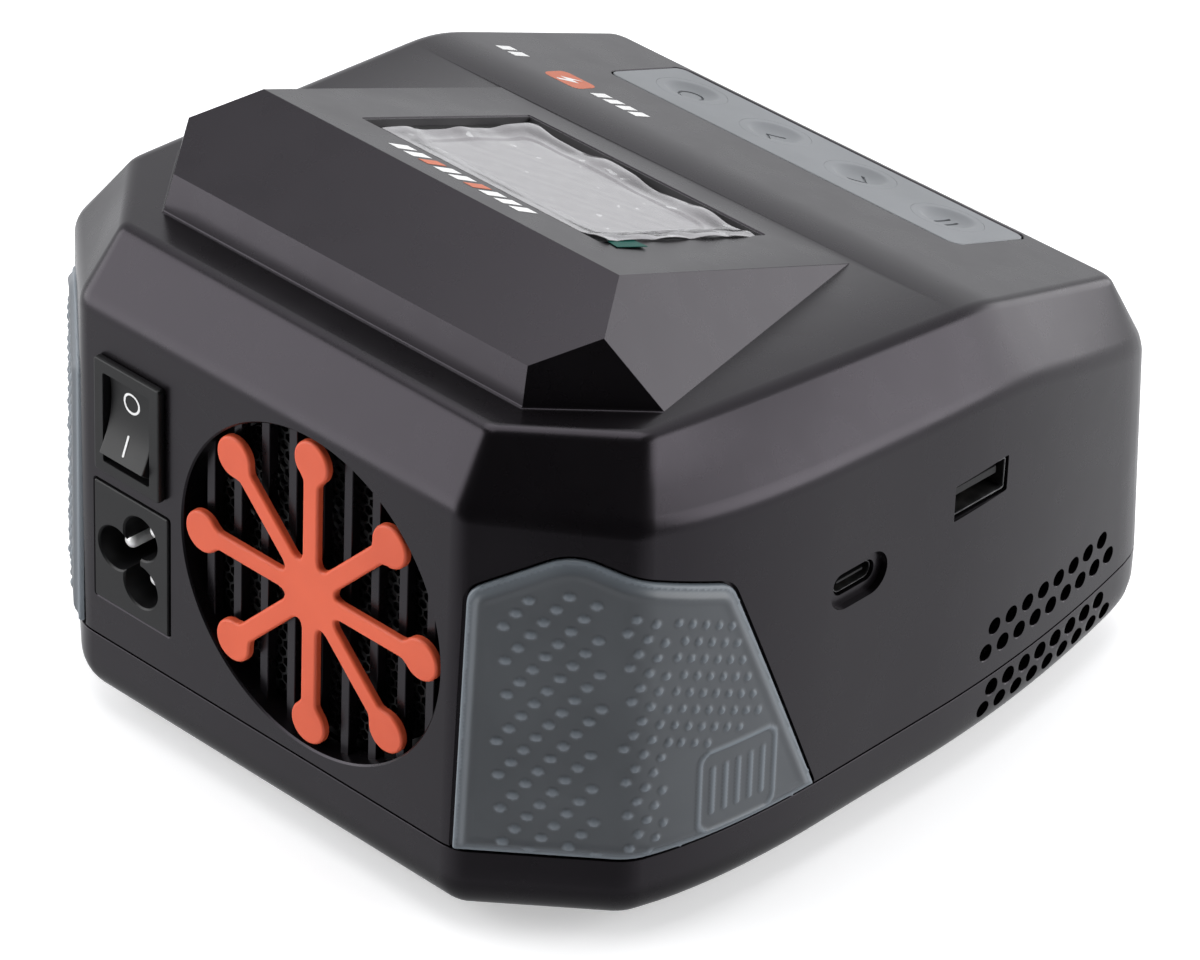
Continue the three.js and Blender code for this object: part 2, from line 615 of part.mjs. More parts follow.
function inletBody() {
  const centres = Object.values(LOBES);
  const cavity = shaped(prism(polygon(centres), 40, -INLET.cavityDepth), {
    add: centres.map(([x, y]) => post(LOBE_RADIUS, 40, x, y, -INLET.cavityDepth, 20)),
  });
  const pinHoles = centres.map(([x, y]) => post(INLET.pinRadius + GAP, 60, x, y, -INLET.depth - 5, 12));
  return shaped(box(INLET.width, INLET.height, 2, 0, 0, -0.7), {
    add: [box(INLET.width - 1, INLET.height - 1, INLET.depth - 1, 0, 0, -INLET.depth / 2 - 0.5)],
    remove: [cavity, ...pinHoles],
  });
}

addPiece('inlet_body', inletBody(), 'black', inletFrame);

for (const [name, [x, y]] of Object.entries(LOBES)) {
  const tip = -2.5;
  const length = INLET.depth + 4;
  const profile = [
    [0, -length], [INLET.pinRadius, -length], [INLET.pinRadius, -0.8], [INLET.pinRadius - 0.5, 0], [0, 0],
  ];
  addPiece(`inlet_pin_${name}`, turned(profile, 12), 'steel', inletFrame).position.set(x, y, tip);
}

// ---------------------------------------------------------------- rocker switch

function rockerHousing() {
  const keyRoom = 2 * (SWITCH.keyRadius + GAP);
  return shaped(box(SWITCH.width, SWITCH.height, SWITCH.bezel - GAP, 0, 0, (SWITCH.bezel + GAP) / 2), {
    add: [box(SWITCH.bodyWidth, SWITCH.bodyHeight, SWITCH.depth, 0, 0, 0.5 - SWITCH.depth / 2)],
    remove: [
      box(SWITCH.keyWidth + 2 * GAP, keyRoom, 26, 0, 0, 0),
      post(SWITCH.trunnionRadius + GAP, 60, 0, 0, -30, 16).rotateY(Math.PI / 2).translate(0, 0, SWITCH.pivotZ),
    ],
  });
}

addPiece('rocker_housing', rockerHousing(), 'black', switchFrame);

// Drawn round its pivot, level; the mesh is turned to the pressed position.
function rockerKey() {
  const front = SWITCH.keyFront - SWITCH.pivotZ;
  const endAngle = Math.asin((front + SWITCH.keyRadius * 0.85 * Math.tan(SWITCH.tilt)) / SWITCH.keyRadius);
  const backAngle = 35 * DEG;
  const shape = new THREE.Shape();
  shape.moveTo(0, front);
  shape.absarc(0, 0, SWITCH.keyRadius, endAngle, -backAngle, true);
  shape.absarc(0, 0, SWITCH.keyRadius, Math.PI + backAngle, Math.PI - endAngle, true);
  shape.closePath();
  const trunnion = post(SWITCH.trunnionRadius, SWITCH.bodyWidth - 1, 0, 0, -(SWITCH.bodyWidth - 1) / 2, 16);
  return shaped(crossPrism(shape, SWITCH.keyWidth), { add: [trunnion.rotateY(Math.PI / 2)] });
}

const key = addPiece('rocker_key', rockerKey(), 'black', switchFrame);
key.position.set(0, 0, SWITCH.pivotZ);
key.rotation.x = -SWITCH.tilt;

// ---------------------------------------------------------------- USB sockets

// A metal shell open at its mouth and back, and a contact tongue on a block in the back of the shell.
function usbSocket(name, frame, outline, cavity, size, mouthZ, tongueHeight, tongueY) {
  const shell = shaped(prism(outline, size.depth, 0, 3), { remove: [prism(cavity, size.depth + 2, -1, 3)] });
  addPiece(`${name}_shell`, shell, 'steel', frame).position.set(0, 0, mouthZ - size.depth);

  const innerWidth = size.width - 2 * (USB_SHELL_WALL + GAP);
  const innerHeight = size.height - 2 * (USB_SHELL_WALL + GAP);
  const base = box(innerWidth * 0.9, innerHeight, 2, 0, 0, 1);
  const tongue = box(innerWidth * 0.86, tongueHeight, size.depth - 2.5, 0, tongueY, (size.depth - 1) / 2);
  addPiece(`${name}_tongue`, shaped(base, { add: [tongue] }), 'black', frame)
    .position.set(0, 0, mouthZ - size.depth);
}

usbSocket(
  'usb_a',
  usbAFrame,
  roundedRectangle(USB_A.width, USB_A.height, 0.6),
  roundedRectangle(USB_A.width - 2 * USB_SHELL_WALL, USB_A.height - 2 * USB_SHELL_WALL, 0.3),
  USB_A,
  -0.5,
  1.9,
  0.9,
);
usbSocket(
  'usb_c',
  usbCFrame,
  stadium(USB_C.width, USB_C.height),
  stadium(USB_C.width - 2 * USB_SHELL_WALL, USB_C.height - 2 * USB_SHELL_WALL),
  USB_C,
  -USB_C.slotDepth - 0.2,
  0.7,
  0,
);
addPiece('usb_board', box(BOARD.thickness, USB_BOARD.width, USB_BOARD.height), 'board')
  .position.set(USB_BOARD.x, USB_BOARD.y, USB_BOARD.z);

// ---------------------------------------------------------------- battery output and balance header

const SOCKET_FACE = -1.2; // the front wall leans back, so both sockets start behind the lowest front line

function outputSocket() {
  const { width, height, depth, wall, contactRadius, contactPitch } = OUTPUT;
  const cut = 3;
  const inner = [width / 2 - wall, height / 2 - wall];
  const cavity = polygon([
    [-inner[0], -inner[1]], [inner[0], -inner[1]], [inner[0], inner[1] - cut], [inner[0] - cut, inner[1]],
    [-inner[0] + cut, inner[1]], [-inner[0], inner[1] - cut],
  ]);
  return shaped(box(width, height, depth, 0, 0, -depth / 2), {
    remove: [
      prism(cavity, depth, -depth + 3),
      ...[-1, 1].map((side) => post(contactRadius + GAP, 60, (side * contactPitch) / 2, 0, -30, 16)),
    ],
  });
}

addPiece('output_socket', outputSocket(), 'black', outputFrame).position.set(0, 0, SOCKET_FACE);
for (const [name, side] of [['positive', 1], ['negative', -1]]) {
  const contact = post(OUTPUT.contactRadius, OUTPUT.depth, 0, 0, -OUTPUT.depth - 3, 16);
  addPiece(`output_contact_${name}`, contact, 'brass', outputFrame)
    .position.set((side * OUTPUT.contactPitch) / 2, 0, SOCKET_FACE);
}

function balanceHeader() {
  const { width, height, depth, wall, pins, pinPitch, pinSize } = BALANCE;
  const holes = Array.from({ length: pins }, (_, i) => (
    box(pinSize + 2 * GAP, pinSize + 2 * GAP, 60, (i - (pins - 1) / 2) * pinPitch, 0, 0)
  ));
  return shaped(box(width, height, depth, 0, 0, -depth / 2), {
    remove: [
      box(width - 2 * wall, height - 2 * wall, depth, 0, 0, 1.6),
      box(2, 2, depth, -4, height / 2, 1.6),
      box(2, 2, depth, 4, height / 2, 1.6),
      ...holes,
    ],
  });
}

addPiece('balance_header', balanceHeader(), 'window', balanceFrame).position.set(0, 0, SOCKET_FACE);

function balancePins() {
  const { depth, pins, pinPitch, pinSize } = BALANCE;
  const comb = Array.from({ length: pins }, (_, i) => (
    box(pinSize, pinSize, depth + 1, (i - (pins - 1) / 2) * pinPitch, 0, -depth / 2 - 2.5)
  ));
  const carrier = box(pins * pinPitch, 2.4, 1.6, 0, 0, -depth - 1.4);
  return shaped(carrier, { add: comb });
}

addPiece('balance_pins', balancePins(), 'brass', balanceFrame).position.set(0, 0, SOCKET_FACE);

// ---------------------------------------------------------------- main board and what stands on it

const BOARD_Z = FLOOR_Z + BOARD.standoff + GAP;
const BOARD_TOP = BOARD_Z + BOARD.thickness + GAP;

function mainBoard() {
  const length = BOARD.rearY - BOARD.frontY;
  return shaped(box(BOARD.width, length, BOARD.thickness, 0, BOARD.frontY + length / 2, BOARD.thickness / 2), {
    remove: fourPlaces(BOARD.screws).map(([x, y]) => post(1.7, 10, x, y, -5, 12)),
  });
}

addPiece('main_board', mainBoard(), 'board').position.set(0, 0, BOARD_Z);

fourPlaces(BOARD.screws).forEach(([x, y], i) => {
  const screw = shaped(post(2.8, 1.8, 0, 0, 0, 12), { add: [post(1.2, 5, 0, 0, -4.6, 10)] });
  addPiece(`board_screw_${i + 1}`, screw, 'steel').position.set(x, y, BOARD_TOP);
});

// Fins stand on a base plate; the profile is in XZ and runs along Y.
function heatSink() {
  const height = 34;
  const fins = [-4.5, 0, 4.5].map((x) => box(1.6, 78, height, x, 0, height / 2));
  return shaped(box(12, 78, 3, 0, 0, 1.5), { add: fins });
}

for (const [name, x] of [['left', -38], ['right', 38]]) {
  addPiece(`heat_sink_${name}`, heatSink(), 'aluminium').position.set(x, -9, BOARD_TOP);
}

// A closed core with a centre leg, and a coil round the leg.
function transformerCore() {
  return shaped(box(40, 14, 34, 0, 0, 17), {
    remove: [box(8, 20, 22, -11, 0, 17), box(8, 20, 22, 11, 0, 17)],
  });
}

function transformerWinding() {
  const coil = prism(roundedRectangle(29, 29, 6), 20, 7);
  return shaped(coil, { remove: [box(14 + 2 * GAP, 14 + 2 * GAP, 60)] });
}

const TRANSFORMER = [-8, -22];
addPiece('transformer_core', transformerCore(), 'ferrite').position.set(...TRANSFORMER, BOARD_TOP);
addPiece('transformer_winding', transformerWinding(), 'copper').position.set(...TRANSFORMER, BOARD_TOP);

addPiece('bulk_capacitor', post(12.5, 40, 0, 0, 0, 24), 'black').position.set(12, 22, BOARD_TOP);
addPiece('output_capacitor', post(6.5, 24, 0, 0, 0, 16), 'black').position.set(20, -44, BOARD_TOP);
addPiece('buzzer', post(6, 8, 0, 0, 0, 20), 'black').position.set(-20, 8, BOARD_TOP);

export default charger;
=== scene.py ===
import bisect
import math

import bmesh
import bpy
import numpy as np
from mathutils import Matrix, Vector
from mathutils.geometry import delaunay_2d_cdt


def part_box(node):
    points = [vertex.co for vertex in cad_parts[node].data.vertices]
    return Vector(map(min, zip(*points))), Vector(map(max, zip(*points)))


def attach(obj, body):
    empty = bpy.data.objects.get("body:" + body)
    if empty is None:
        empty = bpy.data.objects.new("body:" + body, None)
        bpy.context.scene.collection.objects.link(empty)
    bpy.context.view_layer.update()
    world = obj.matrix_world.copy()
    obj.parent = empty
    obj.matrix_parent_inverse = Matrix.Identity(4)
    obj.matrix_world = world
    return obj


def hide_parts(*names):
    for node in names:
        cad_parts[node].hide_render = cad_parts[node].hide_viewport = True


# Looks for the balance battery charger. Shapes are drawn in millimetres in the CAD model's frame
# (+Z up, the user at -Y, the fan on the +Y face, the USB sockets on the -X face), then scaled to metres.

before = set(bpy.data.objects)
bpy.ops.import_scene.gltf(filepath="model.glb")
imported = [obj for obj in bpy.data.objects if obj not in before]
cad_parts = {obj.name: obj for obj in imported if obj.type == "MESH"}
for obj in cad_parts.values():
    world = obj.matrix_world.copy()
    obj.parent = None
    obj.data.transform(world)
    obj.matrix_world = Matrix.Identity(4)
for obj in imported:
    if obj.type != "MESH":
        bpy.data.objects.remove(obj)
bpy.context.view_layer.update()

MM = 0.001

# ---------------------------------------------------------------- driving dimensions

REAR_Y = 76.0
FRONT_Y = -79.0
HALF_WIDTH = 72.6
WALL = 2.4
FOOT_HEIGHT = 2.0
SEAM_Z = 16.8
SEAM_GAP = 0.5
BOTTOM_RADIUS = 9.8

# The top is two planes that meet at a bend, with a slanting shoulder that drops from them to the walls.
BEND_Y = -25.8
BEND_Z = 86.7
REAR_SLOPE = 0.0747
FRONT_SLOPE = 0.332
BEND_BLEND = 5.0
SHOULDER_BLEND = 14.0
REAR_DROP = 12.2
FRONT_DROP = 11.5

# The plan of the walls and of the top edge, each with a chamfered rear corner from A to B.
WALL_A = (44.5, REAR_Y)
WALL_B = (66.5, 57.5)
WALL_ROUNDING = 2.8
WALL_REAR_CONTROL = (72.2, 44.0)
STRAIGHT_REAR_Y = 18.0
STRAIGHT_FRONT_Y = -10.0
WALL_SIDE_CONTROL = (HALF_WIDTH, -38.5)
WALL_LAST = (66.0, -68.5)
WALL_FRONT_CONTROL = (63.6, FRONT_Y)
WALL_FRONT_END = (54.0, FRONT_Y)
SHOULDER_ROUNDING = 2.0
SHOULDER_NARROWING = 0.99
WALL_RISE = 57.5
SHOULDER_SETBACK = 0.965
TOP_A = (42.4, 68.0)
TOP_B = (59.4, 49.7)
TOP_ROUNDING = 1.3
TOP_BEND_X = 63.5
TOP_BLEND = 8.0
TOP_FRONT_X = 58.6
TOP_FRONT_Y = -67.8
TOP_FRONT_CONTROL = (58.9, TOP_FRONT_Y)
TOP_FRONT_END = (55.6, TOP_FRONT_Y)
EDGE_INSET = 4.0
SHOULDER_SOFTENING = 2.2
EDGE_SOFTENING = 1.6
INNER_ROUNDING = 0.5

# Stations are places along the side, as y at the top edge; the wall's bend is beside the top's.
FIRST_STATION = 47.5
LAST_STATION = -64.8
WALL_BEND_Y = -26.7

# The display block's corners on the +X side.
BLOCK_FRONT_Y = -18.8
RIDGE = (40.7, 37.7, 108.2)
BLOCK_LOW = (40.7, 58.0, 99.9)
BLOCK_SIDE = (47.6, 48.16, 103.92)
FOOT_REAR = (41.39, 59.7)
FOOT_SIDE = (56.0, 42.5)
FOOT_FRONT = (40.5, BLOCK_FRONT_Y)
BLOCK_BEVEL = 3.0
BLOCK_MIDDLE = (0, 15, 60)
CRISP = 0.16

DISPLAY = {
    "y": 7.75, "z": 97.1, "slope": math.atan(0.3713),
    "width": 54.6, "length": 43.2, "depth": 3.0,
}
KEYPAD = {
    "y": -56.15, "z": 76.62, "slope": math.atan(FRONT_SLOPE),
    "width": 82.0, "length": 21.0, "radius": 2.5,
}
FAN = {"x": -10.64, "z": 50.0, "radius": 30.0}
INLET = {"x": 31.6, "z": 36.9, "width": 18.0, "height": 23.2}
SWITCH = {"x": 31.35, "z": 62.8, "width": 15.9, "height": 22.0}
USB_A = {"y": -19.5, "z": 57.4, "width": 13.5, "height": 6.3}
USB_C = {"y": 11.0, "z": 53.2, "slot_width": 13.8, "slot_height": 8.0, "width": 9.2, "height": 3.4}
OUTPUT = {"x": 18.0, "z": 38.0, "width": 24.0, "height": 14.0}
BALANCE = {"x": -20.0, "z": 38.0, "width": 21.0, "height": 6.2}
SLAT = {"pitch": 6.4, "width": 1.6, "front": -2.4, "depth": 1.8}
GUARD = {
    "arms": 8, "half_width": 1.75, "root": 7.2, "hub": 5.4,
    "pad_radius": 3.9, "pad_distance": 25.4, "thickness": 1.3,
}
MESH = {"cell": 1.95, "bar": 0.36, "reach": 28.6, "front": -4.7, "back": -5.4}
BUTTON = {"radius": 6.6, "pitch": 20.0, "shift_y": -0.9, "names": ["enter", "next", "previous", "pause"]}
KEY = {
    "width": 10.6, "radius": 8.4, "half_front": 6.95, "front": 0.4,
    "pivot": -3.0, "tilt": math.radians(10),
}
FILM = {"x0": -28.0, "x1": 23.3, "y0": -19.0, "y1": 20.4, "thickness": 0.1}
LOBES = {"earth": (-3.9, 0.0), "live": (2.3, 4.8), "neutral": (2.3, -4.8)}

# Rows of vent holes: height, y of the first hole, number of holes.
VENT = {"radius": 1.6, "pitch": 4.8}
VENT_ROWS_UPPER = [(26.9, -26.0, 8), (22.4, -24.0, 9)]
VENT_ROWS_LOWER = [(14.2, -26.5, 8), (10.37, -24.53, 9)]

# ---------------------------------------------------------------- points and outlines


def mix(a, b, t):
    return tuple(p + (q - p) * t for p, q in zip(a, b))


def spaced(start, stop, steps):
    """Values from start towards stop, without stop."""
    return [start + (stop - start) * (i / steps) for i in range(steps)]


def line(a, b, steps):
    """Points from a towards b, without b."""
    return [mix(a, b, i / steps) for i in range(steps)]


def on_curve(a, control, b, t):
    """The point at t, from 0 to 1, on the quadratic curve from a to b."""
    return mix(mix(a, control, t), mix(control, b, t), t)


def bezier(a, control, b, steps):
    """Points on the quadratic curve from a to b, without b."""
    return [on_curve(a, control, b, i / steps) for i in range(steps)]


def towards(a, b, distance):
    """The point at a distance from a on the way to b."""
    length = math.dist(a, b)
    return mix(a, b, distance / length)


def polar(radius, angle, x=0.0, y=0.0):
    return x + radius * math.cos(angle), y + radius * math.sin(angle)


def circle(radius, count):
    return [polar(radius, 2 * math.pi * i / count) for i in range(count)]


def rounded_rectangle(width, height, radius, steps=4):
    """An anticlockwise outline with quarter-round corners, centred on the origin."""
    points = []
    for quarter in range(4):
        sx = 1 if quarter in (0, 3) else -1
        sy = 1 if quarter in (0, 1) else -1
        x, y = sx * (width / 2 - radius), sy * (height / 2 - radius)
        points += [polar(radius, (quarter + i / steps) * math.pi / 2, x, y) for i in range(steps + 1)]
    return points


def plan_normals(loop):
    """The unit normal at each point of a closed loop in XY, pointing to the left of its direction."""
    normals = []
    for before, after in zip([loop[-1], *loop[:-1]], [*loop[1:], loop[0]]):
        dx, dy = after[0] - before[0], after[1] - before[1]
        length = math.hypot(dx, dy)
        normals.append((-dy / length, dx / length))
    return normals


def shifted(loop, distance):
    """A clockwise loop moved inwards by a distance in plan."""
    return [
        (point[0] - n[0] * distance, point[1] - n[1] * distance, *point[2:])
        for point, n in zip(loop, plan_normals(loop))
    ]


def inset(loop, distance):
    """A convex clockwise loop moved inwards by a distance, each of its points straight towards the origin."""
    reaches = [(p[0] * n[0] + p[1] * n[1] - distance, n) for p, n in zip(loop, plan_normals(loop))]
    pulled = []
    for x, y in loop:
        scale = min(reach / (x * n[0] + y * n[1]) for reach, n in reaches if x * n[0] + y * n[1] > 1)
        pulled.append((x * scale, y * scale))
    return pulled


def with_height(loop, height):
    """A loop in plan raised to a height, which is a number or a function of y."""
    return [(x, y, height(y) if callable(height) else height) for x, y in (p[:2] for p in loop)]


def scaled(value, start, stop, low, high):
    """A value between start and stop, carried over to between low and high."""
    return low + (value - start) * (high - low) / (stop - start)


def smooth_step(value, start, stop):
    """A rise from 0 to 1 between start and stop, level at both ends."""
    t = min(max((value - start) / (stop - start), 0.0), 1.0)
    return t * t * (3 - 2 * t)


# ---------------------------------------------------------------- face frames
# A face frame's local +Z points out of the face.


def face_frame(origin, x_axis, y_axis):
    x, y = Vector(x_axis), Vector(y_axis)
    return Matrix([*zip(x, y, x.cross(y), origin), (0, 0, 0, 1)])


def rear_frame(place):
    return face_frame((place["x"], REAR_Y, place["z"]), (-1, 0, 0), (0, 0, 1))


def side_frame(place):
    return face_frame((-HALF_WIDTH, place["y"], place["z"]), (0, -1, 0), (0, 0, 1))


def front_frame(place):
    return face_frame((place["x"], FRONT_Y, place["z"]), (1, 0, 0), (0, 0, 1))


def sloped_frame(place):
    slope = place["slope"]
    return face_frame((0, place["y"], place["z"]), (1, 0, 0), (0, math.cos(slope), math.sin(slope)))


DISPLAY_FRAME = sloped_frame(DISPLAY)
KEYPAD_FRAME = sloped_frame(KEYPAD)
FAN_FRAME = rear_frame(FAN)
INLET_FRAME = rear_frame(INLET)
SWITCH_FRAME = rear_frame(SWITCH)
KEY_FRAME = SWITCH_FRAME @ Matrix.Translation((0, 0, KEY["pivot"])) @ Matrix.Rotation(-KEY["tilt"], 4, "X")
USB_A_FRAME = side_frame(USB_A)
USB_C_FRAME = side_frame(USB_C)
OUTPUT_FRAME = front_frame(OUTPUT)
BALANCE_FRAME = front_frame(BALANCE)

# ---------------------------------------------------------------- forms
# A form is a pair: vertices in mm, and faces.


def placed(form, matrix):
    vertices, faces = form
    return [tuple(matrix @ Vector(v)) for v in vertices], faces


def moved(form, x, y=0.0, z=0.0):
    return placed(form, Matrix.Translation((x, y, z)))


def turned_about(form, angle, axis):
    return placed(form, Matrix.Rotation(angle, 4, axis))


def joined(forms):
    vertices, faces = [], []
    for more_vertices, more_faces in forms:
        base = len(vertices)
        vertices.extend(more_vertices)
        faces.extend(tuple(base + i for i in face) for face in more_faces)
    return vertices, faces


def loft(loops, first_end=True, last_end=True, closed=False):
    """A skin through loops of equal length, with flat ends where asked; closed, the last meets the first."""
    count = len(loops[0])
    vertices = [tuple(p) for loop in loops for p in loop]
    faces = []
    for row in range(len(loops) if closed else len(loops) - 1):
        a, b = row * count, (row + 1) % len(loops) * count
        for i in range(count):
            j = (i + 1) % count
            faces.append((a + i, a + j, b + j, b + i))
    if first_end and not closed:
        faces.append(tuple(range(count)))
    if last_end and not closed:
        faces.append(tuple(range((len(loops) - 1) * count, len(loops) * count)))
    return vertices, faces


def stacked(outline, levels):
    """A loft of outline(growth) at each (growth, z) level, in a face frame."""
    return loft([[(x, y, z) for x, y in outline(growth)] for growth, z in levels])


def prism(outline, low, high):
    """An outline carried from one height to another."""
    return stacked(lambda growth: outline, [(0, low), (0, high)])


def grown_rectangle(width, height, radius, steps=4):
    """A function that gives the rounded rectangle's outline for any growth, as stacked needs it."""
    return lambda growth: rounded_rectangle(
        width + 2 * growth, height + 2 * growth, max(radius + growth, 0.05), steps)


def block(width, height, radius, levels, steps=4):
    """A rounded rectangle stacked through (growth, z) levels."""
    return stacked(grown_rectangle(width, height, radius, steps), levels)


def drum(radius, levels, count):
    """A circle stacked through (growth, z) levels."""
    return stacked(lambda growth: circle(radius + growth, count), levels)


def turned(profile, sides=48, closed=False):
    """A solid of revolution round local Z from (radius, z) pairs, with flat ends or closed on itself."""
    return loft([[(x, y, z) for x, y in circle(radius, sides)] for radius, z in profile], closed=closed)


def ring_form(inner, outer, low, high, sides=64):
    """A flat ring round local Z, between two radii and two heights."""
    return turned([(inner, low), (outer, low), (outer, high), (inner, high)], sides, closed=True)


def stroke(a, b, width, depth_from, depth_to):
    """A straight groove or bar with round ends, from a to b."""
    angle = math.atan2(b[1] - a[1], b[0] - a[0])
    outline = []
    for end, start in ((b, angle - math.pi / 2), (a, angle + math.pi / 2)):
        outline += [polar(width / 2, start + math.pi * i / 8, *end) for i in range(9)]
    return prism(outline, depth_from, depth_to)


def hull_form(points):
    """The convex hull of points, as a form."""
    bm = bmesh.new()
    for point in points:
        bm.verts.new(point)
    made = bmesh.ops.convex_hull(bm, input=bm.verts)
    bmesh.ops.delete(bm, geom=list({*made["geom_interior"], *made["geom_unused"]}), context="VERTS")
    bm.verts.index_update()
    form = [tuple(v.co) for v in bm.verts], [tuple(v.index for v in f.verts) for f in bm.faces]
    bm.free()
    return form


# ---------------------------------------------------------------- objects


def mesh_from_bmesh(name, bm):
    bmesh.ops.recalc_face_normals(bm, faces=bm.faces)
    mesh = bpy.data.meshes.new(name)
    bm.to_mesh(mesh)
    bm.free()
    return mesh


def bmesh_of(form):
    vertices, faces = form
    bm = bmesh.new()
    corners = [bm.verts.new(Vector(v) * MM) for v in vertices]
    for face in faces:
        bm.faces.new([corners[i] for i in face])
    bm.verts.index_update()
    bm.verts.ensure_lookup_table()
    return bm


def add_object(name, mesh):
    obj = bpy.data.objects.new(name, mesh)
    bpy.context.collection.objects.link(obj)
    return obj


def object_of(name, form):
    return add_object(name, mesh_from_bmesh(name, bmesh_of(form)))


def apply_modifiers(obj):
    graph = bpy.context.evaluated_depsgraph_get()
    mesh = bpy.data.meshes.new_from_object(obj.evaluated_get(graph), depsgraph=graph)
    obj.modifiers.clear()
    obj.data = mesh


def carve(obj, form, operation="DIFFERENCE"):
    """Cuts a form out of obj, or joins it to it."""
    tool = object_of("cutter", form)
    modifier = obj.modifiers.new("carve", "BOOLEAN")
    modifier.operation = operation
    modifier.solver = "EXACT"
    modifier.object = tool
    apply_modifiers(obj)
    bpy.data.objects.remove(tool, do_unlink=True)


def mark_points(obj, attribute, values):
    """Stores a value at each point of a mesh, for its material to read."""
    obj.data.attributes.new(attribute, "FLOAT", "POINT").data.foreach_set("value", values)


# ---------------------------------------------------------------- finishes
# Each finish is a Principled shader whose colour, roughness and grain come from noise in object space.

FINISHES = {}


def put(tree, node, inputs):
    """Sets a node's inputs by name: another node's output is linked, anything else is a constant."""
    for name, value in inputs.items():
        if isinstance(value, bpy.types.NodeSocket):
            tree.links.new(value, node.inputs[name])
        else:
            node.inputs[name].default_value = value


def add_node(tree, kind, inputs=None):
    node = tree.nodes.new(f"ShaderNode{kind}")
    put(tree, node, inputs or {})
    return node


def add_finish(name):
    """Makes a material, keeps it in FINISHES by its name and returns its node tree."""
    material = bpy.data.materials.new(name)
    material.use_nodes = True
    FINISHES[name] = material
    return material.node_tree


def shade(tree, inputs):
    put(tree, tree.nodes["Principled BSDF"], inputs)


def noise(tree, scale, detail=2.0, stretch=(1, 1, 1)):
    """A noise value over the surface; scale is in cycles per metre."""
    place = add_node(tree, "TexCoord").outputs["Object"]
    vector = add_node(tree, "Mapping", {"Vector": place, "Scale": stretch}).outputs["Vector"]
    return add_node(tree, "TexNoise", {"Vector": vector, "Scale": scale, "Detail": detail}).outputs["Fac"]


def ramp(tree, value, *stops):
    """A colour ramp from (position, colour) stops, driven by a value."""
    node = add_node(tree, "ValToRGB", {"Fac": value})
    elements = node.color_ramp.elements
    while len(elements) < len(stops):
        elements.new(0.5)
    for element, (position, colour) in zip(elements, stops):
        element.position = position
        element.color = (*colour, 1)
    return node.outputs["Color"]


def spread(tree, value, low, high):
    """A value from 0..1 mapped to low..high."""
    return add_node(tree, "MapRange", {"Value": value, "To Min": low, "To Max": high}).outputs["Result"]


def grain(tree, value, strength, depth):
    """A surface normal with bumps of a depth in metres."""
    bump = add_node(tree, "Bump", {"Height": value, "Strength": strength, "Distance": depth})
    return bump.outputs["Normal"]


def stored(tree, attribute):
    """The value that mark_points stored on the mesh."""
    node = add_node(tree, "Attribute")
    node.attribute_name = attribute
    return node.outputs["Fac"]


def plastic(name, dark, light, roughness, bump=0.1, scale=1400, specular=0.5, ior=1.45, tint=(1, 1, 1)):
    """A moulded plastic or rubber: faint clouds of tone, uneven gloss and a fine grain."""
    tree = add_finish(name)
    shade(tree, {
        "Base Color": ramp(tree, noise(tree, 45, 3), (0.35, dark), (0.65, light)),
        "Roughness": spread(tree, noise(tree, 120, 4), roughness - 0.05, roughness + 0.05),
        "Normal": grain(tree, noise(tree, scale), bump, 0.00004),
        "IOR": ior,
        "Specular IOR Level": specular,
        "Specular Tint": (*tint, 1),
    })


def metal(name, dark, light, roughness, brushed=(1, 1, 1), metallic=1.0):
    """A metal with streaks of tone and gloss."""
    tree = add_finish(name)
    streaks = noise(tree, 600, 3, brushed)
    shade(tree, {
        "Base Color": ramp(tree, streaks, (0.3, dark), (0.7, light)),
        "Roughness": spread(tree, streaks, roughness - 0.06, roughness + 0.08),
        "Normal": grain(tree, streaks, 0.05, 0.00002),
        "Metallic": metallic,
    })


def bumper_finish():
    """Grey rubber, painted paler near its thin rim and where it is raised: a painted highlight."""
    tree = add_finish("bumper_rubber")
    clouds = noise(tree, 45, 3)
    # Painted highlight: the rubber is mixed towards a paler grey by the stored pale value.
    mixed = add_node(tree, "Mix")
    mixed.data_type = "RGBA"
    put(tree, mixed, {
        "Factor": spread(tree, stored(tree, "pale"), 0.0, 0.75),
        "A": ramp(tree, clouds, (0.35, (0.056, 0.062, 0.070)), (0.65, (0.066, 0.073, 0.082))),
        "B": (0.15, 0.175, 0.2, 1),
    })
    shade(tree, {
        "Base Color": mixed.outputs["Result"],
        "Roughness": spread(tree, clouds, 0.38, 0.46),
        "Normal": grain(tree, noise(tree, 1500), 0.06, 0.00004),
    })


def film_finish():
    """A clear film with a milky haze, a few pale flakes under it and a sharp shine."""
    tree = add_finish("protective_film")
    shade(tree, {
        "Base Color": ramp(
            tree, noise(tree, 520, 0),
            (0.2, (0.188, 0.178, 0.190)), (0.62, (0.218, 0.207, 0.220)),
            (0.78, (0.235, 0.224, 0.237)), (0.8, (0.5, 0.5, 0.51)),
        ),
        "Alpha": spread(tree, stored(tree, "haze"), 0.34, 0.8),
        "Normal": grain(tree, noise(tree, 22, 1), 0.06, 0.0002),
        "Roughness": 0.14,
        "IOR": 1.55,
        "Coat Weight": 1,
        "Coat Roughness": 0.1,
    })


def board_finish():
    """Green solder mask with lighter traces and pads."""
    tree = add_finish("circuit_board")
    brick = add_node(tree, "TexBrick", {
        "Vector": add_node(tree, "TexCoord").outputs["Object"],
        "Color1": (0.010, 0.07, 0.03, 1),
        "Color2": (0.016, 0.10, 0.045, 1),
        "Mortar": (0.05, 0.20, 0.10, 1),
        "Scale": 160,
        "Mortar Size": 0.02,
    })
    shade(tree, {
        "Base Color": brick.outputs["Color"],
        "Normal": grain(tree, brick.outputs["Fac"], 0.3, 0.00003),
        "Roughness": 0.4,
    })


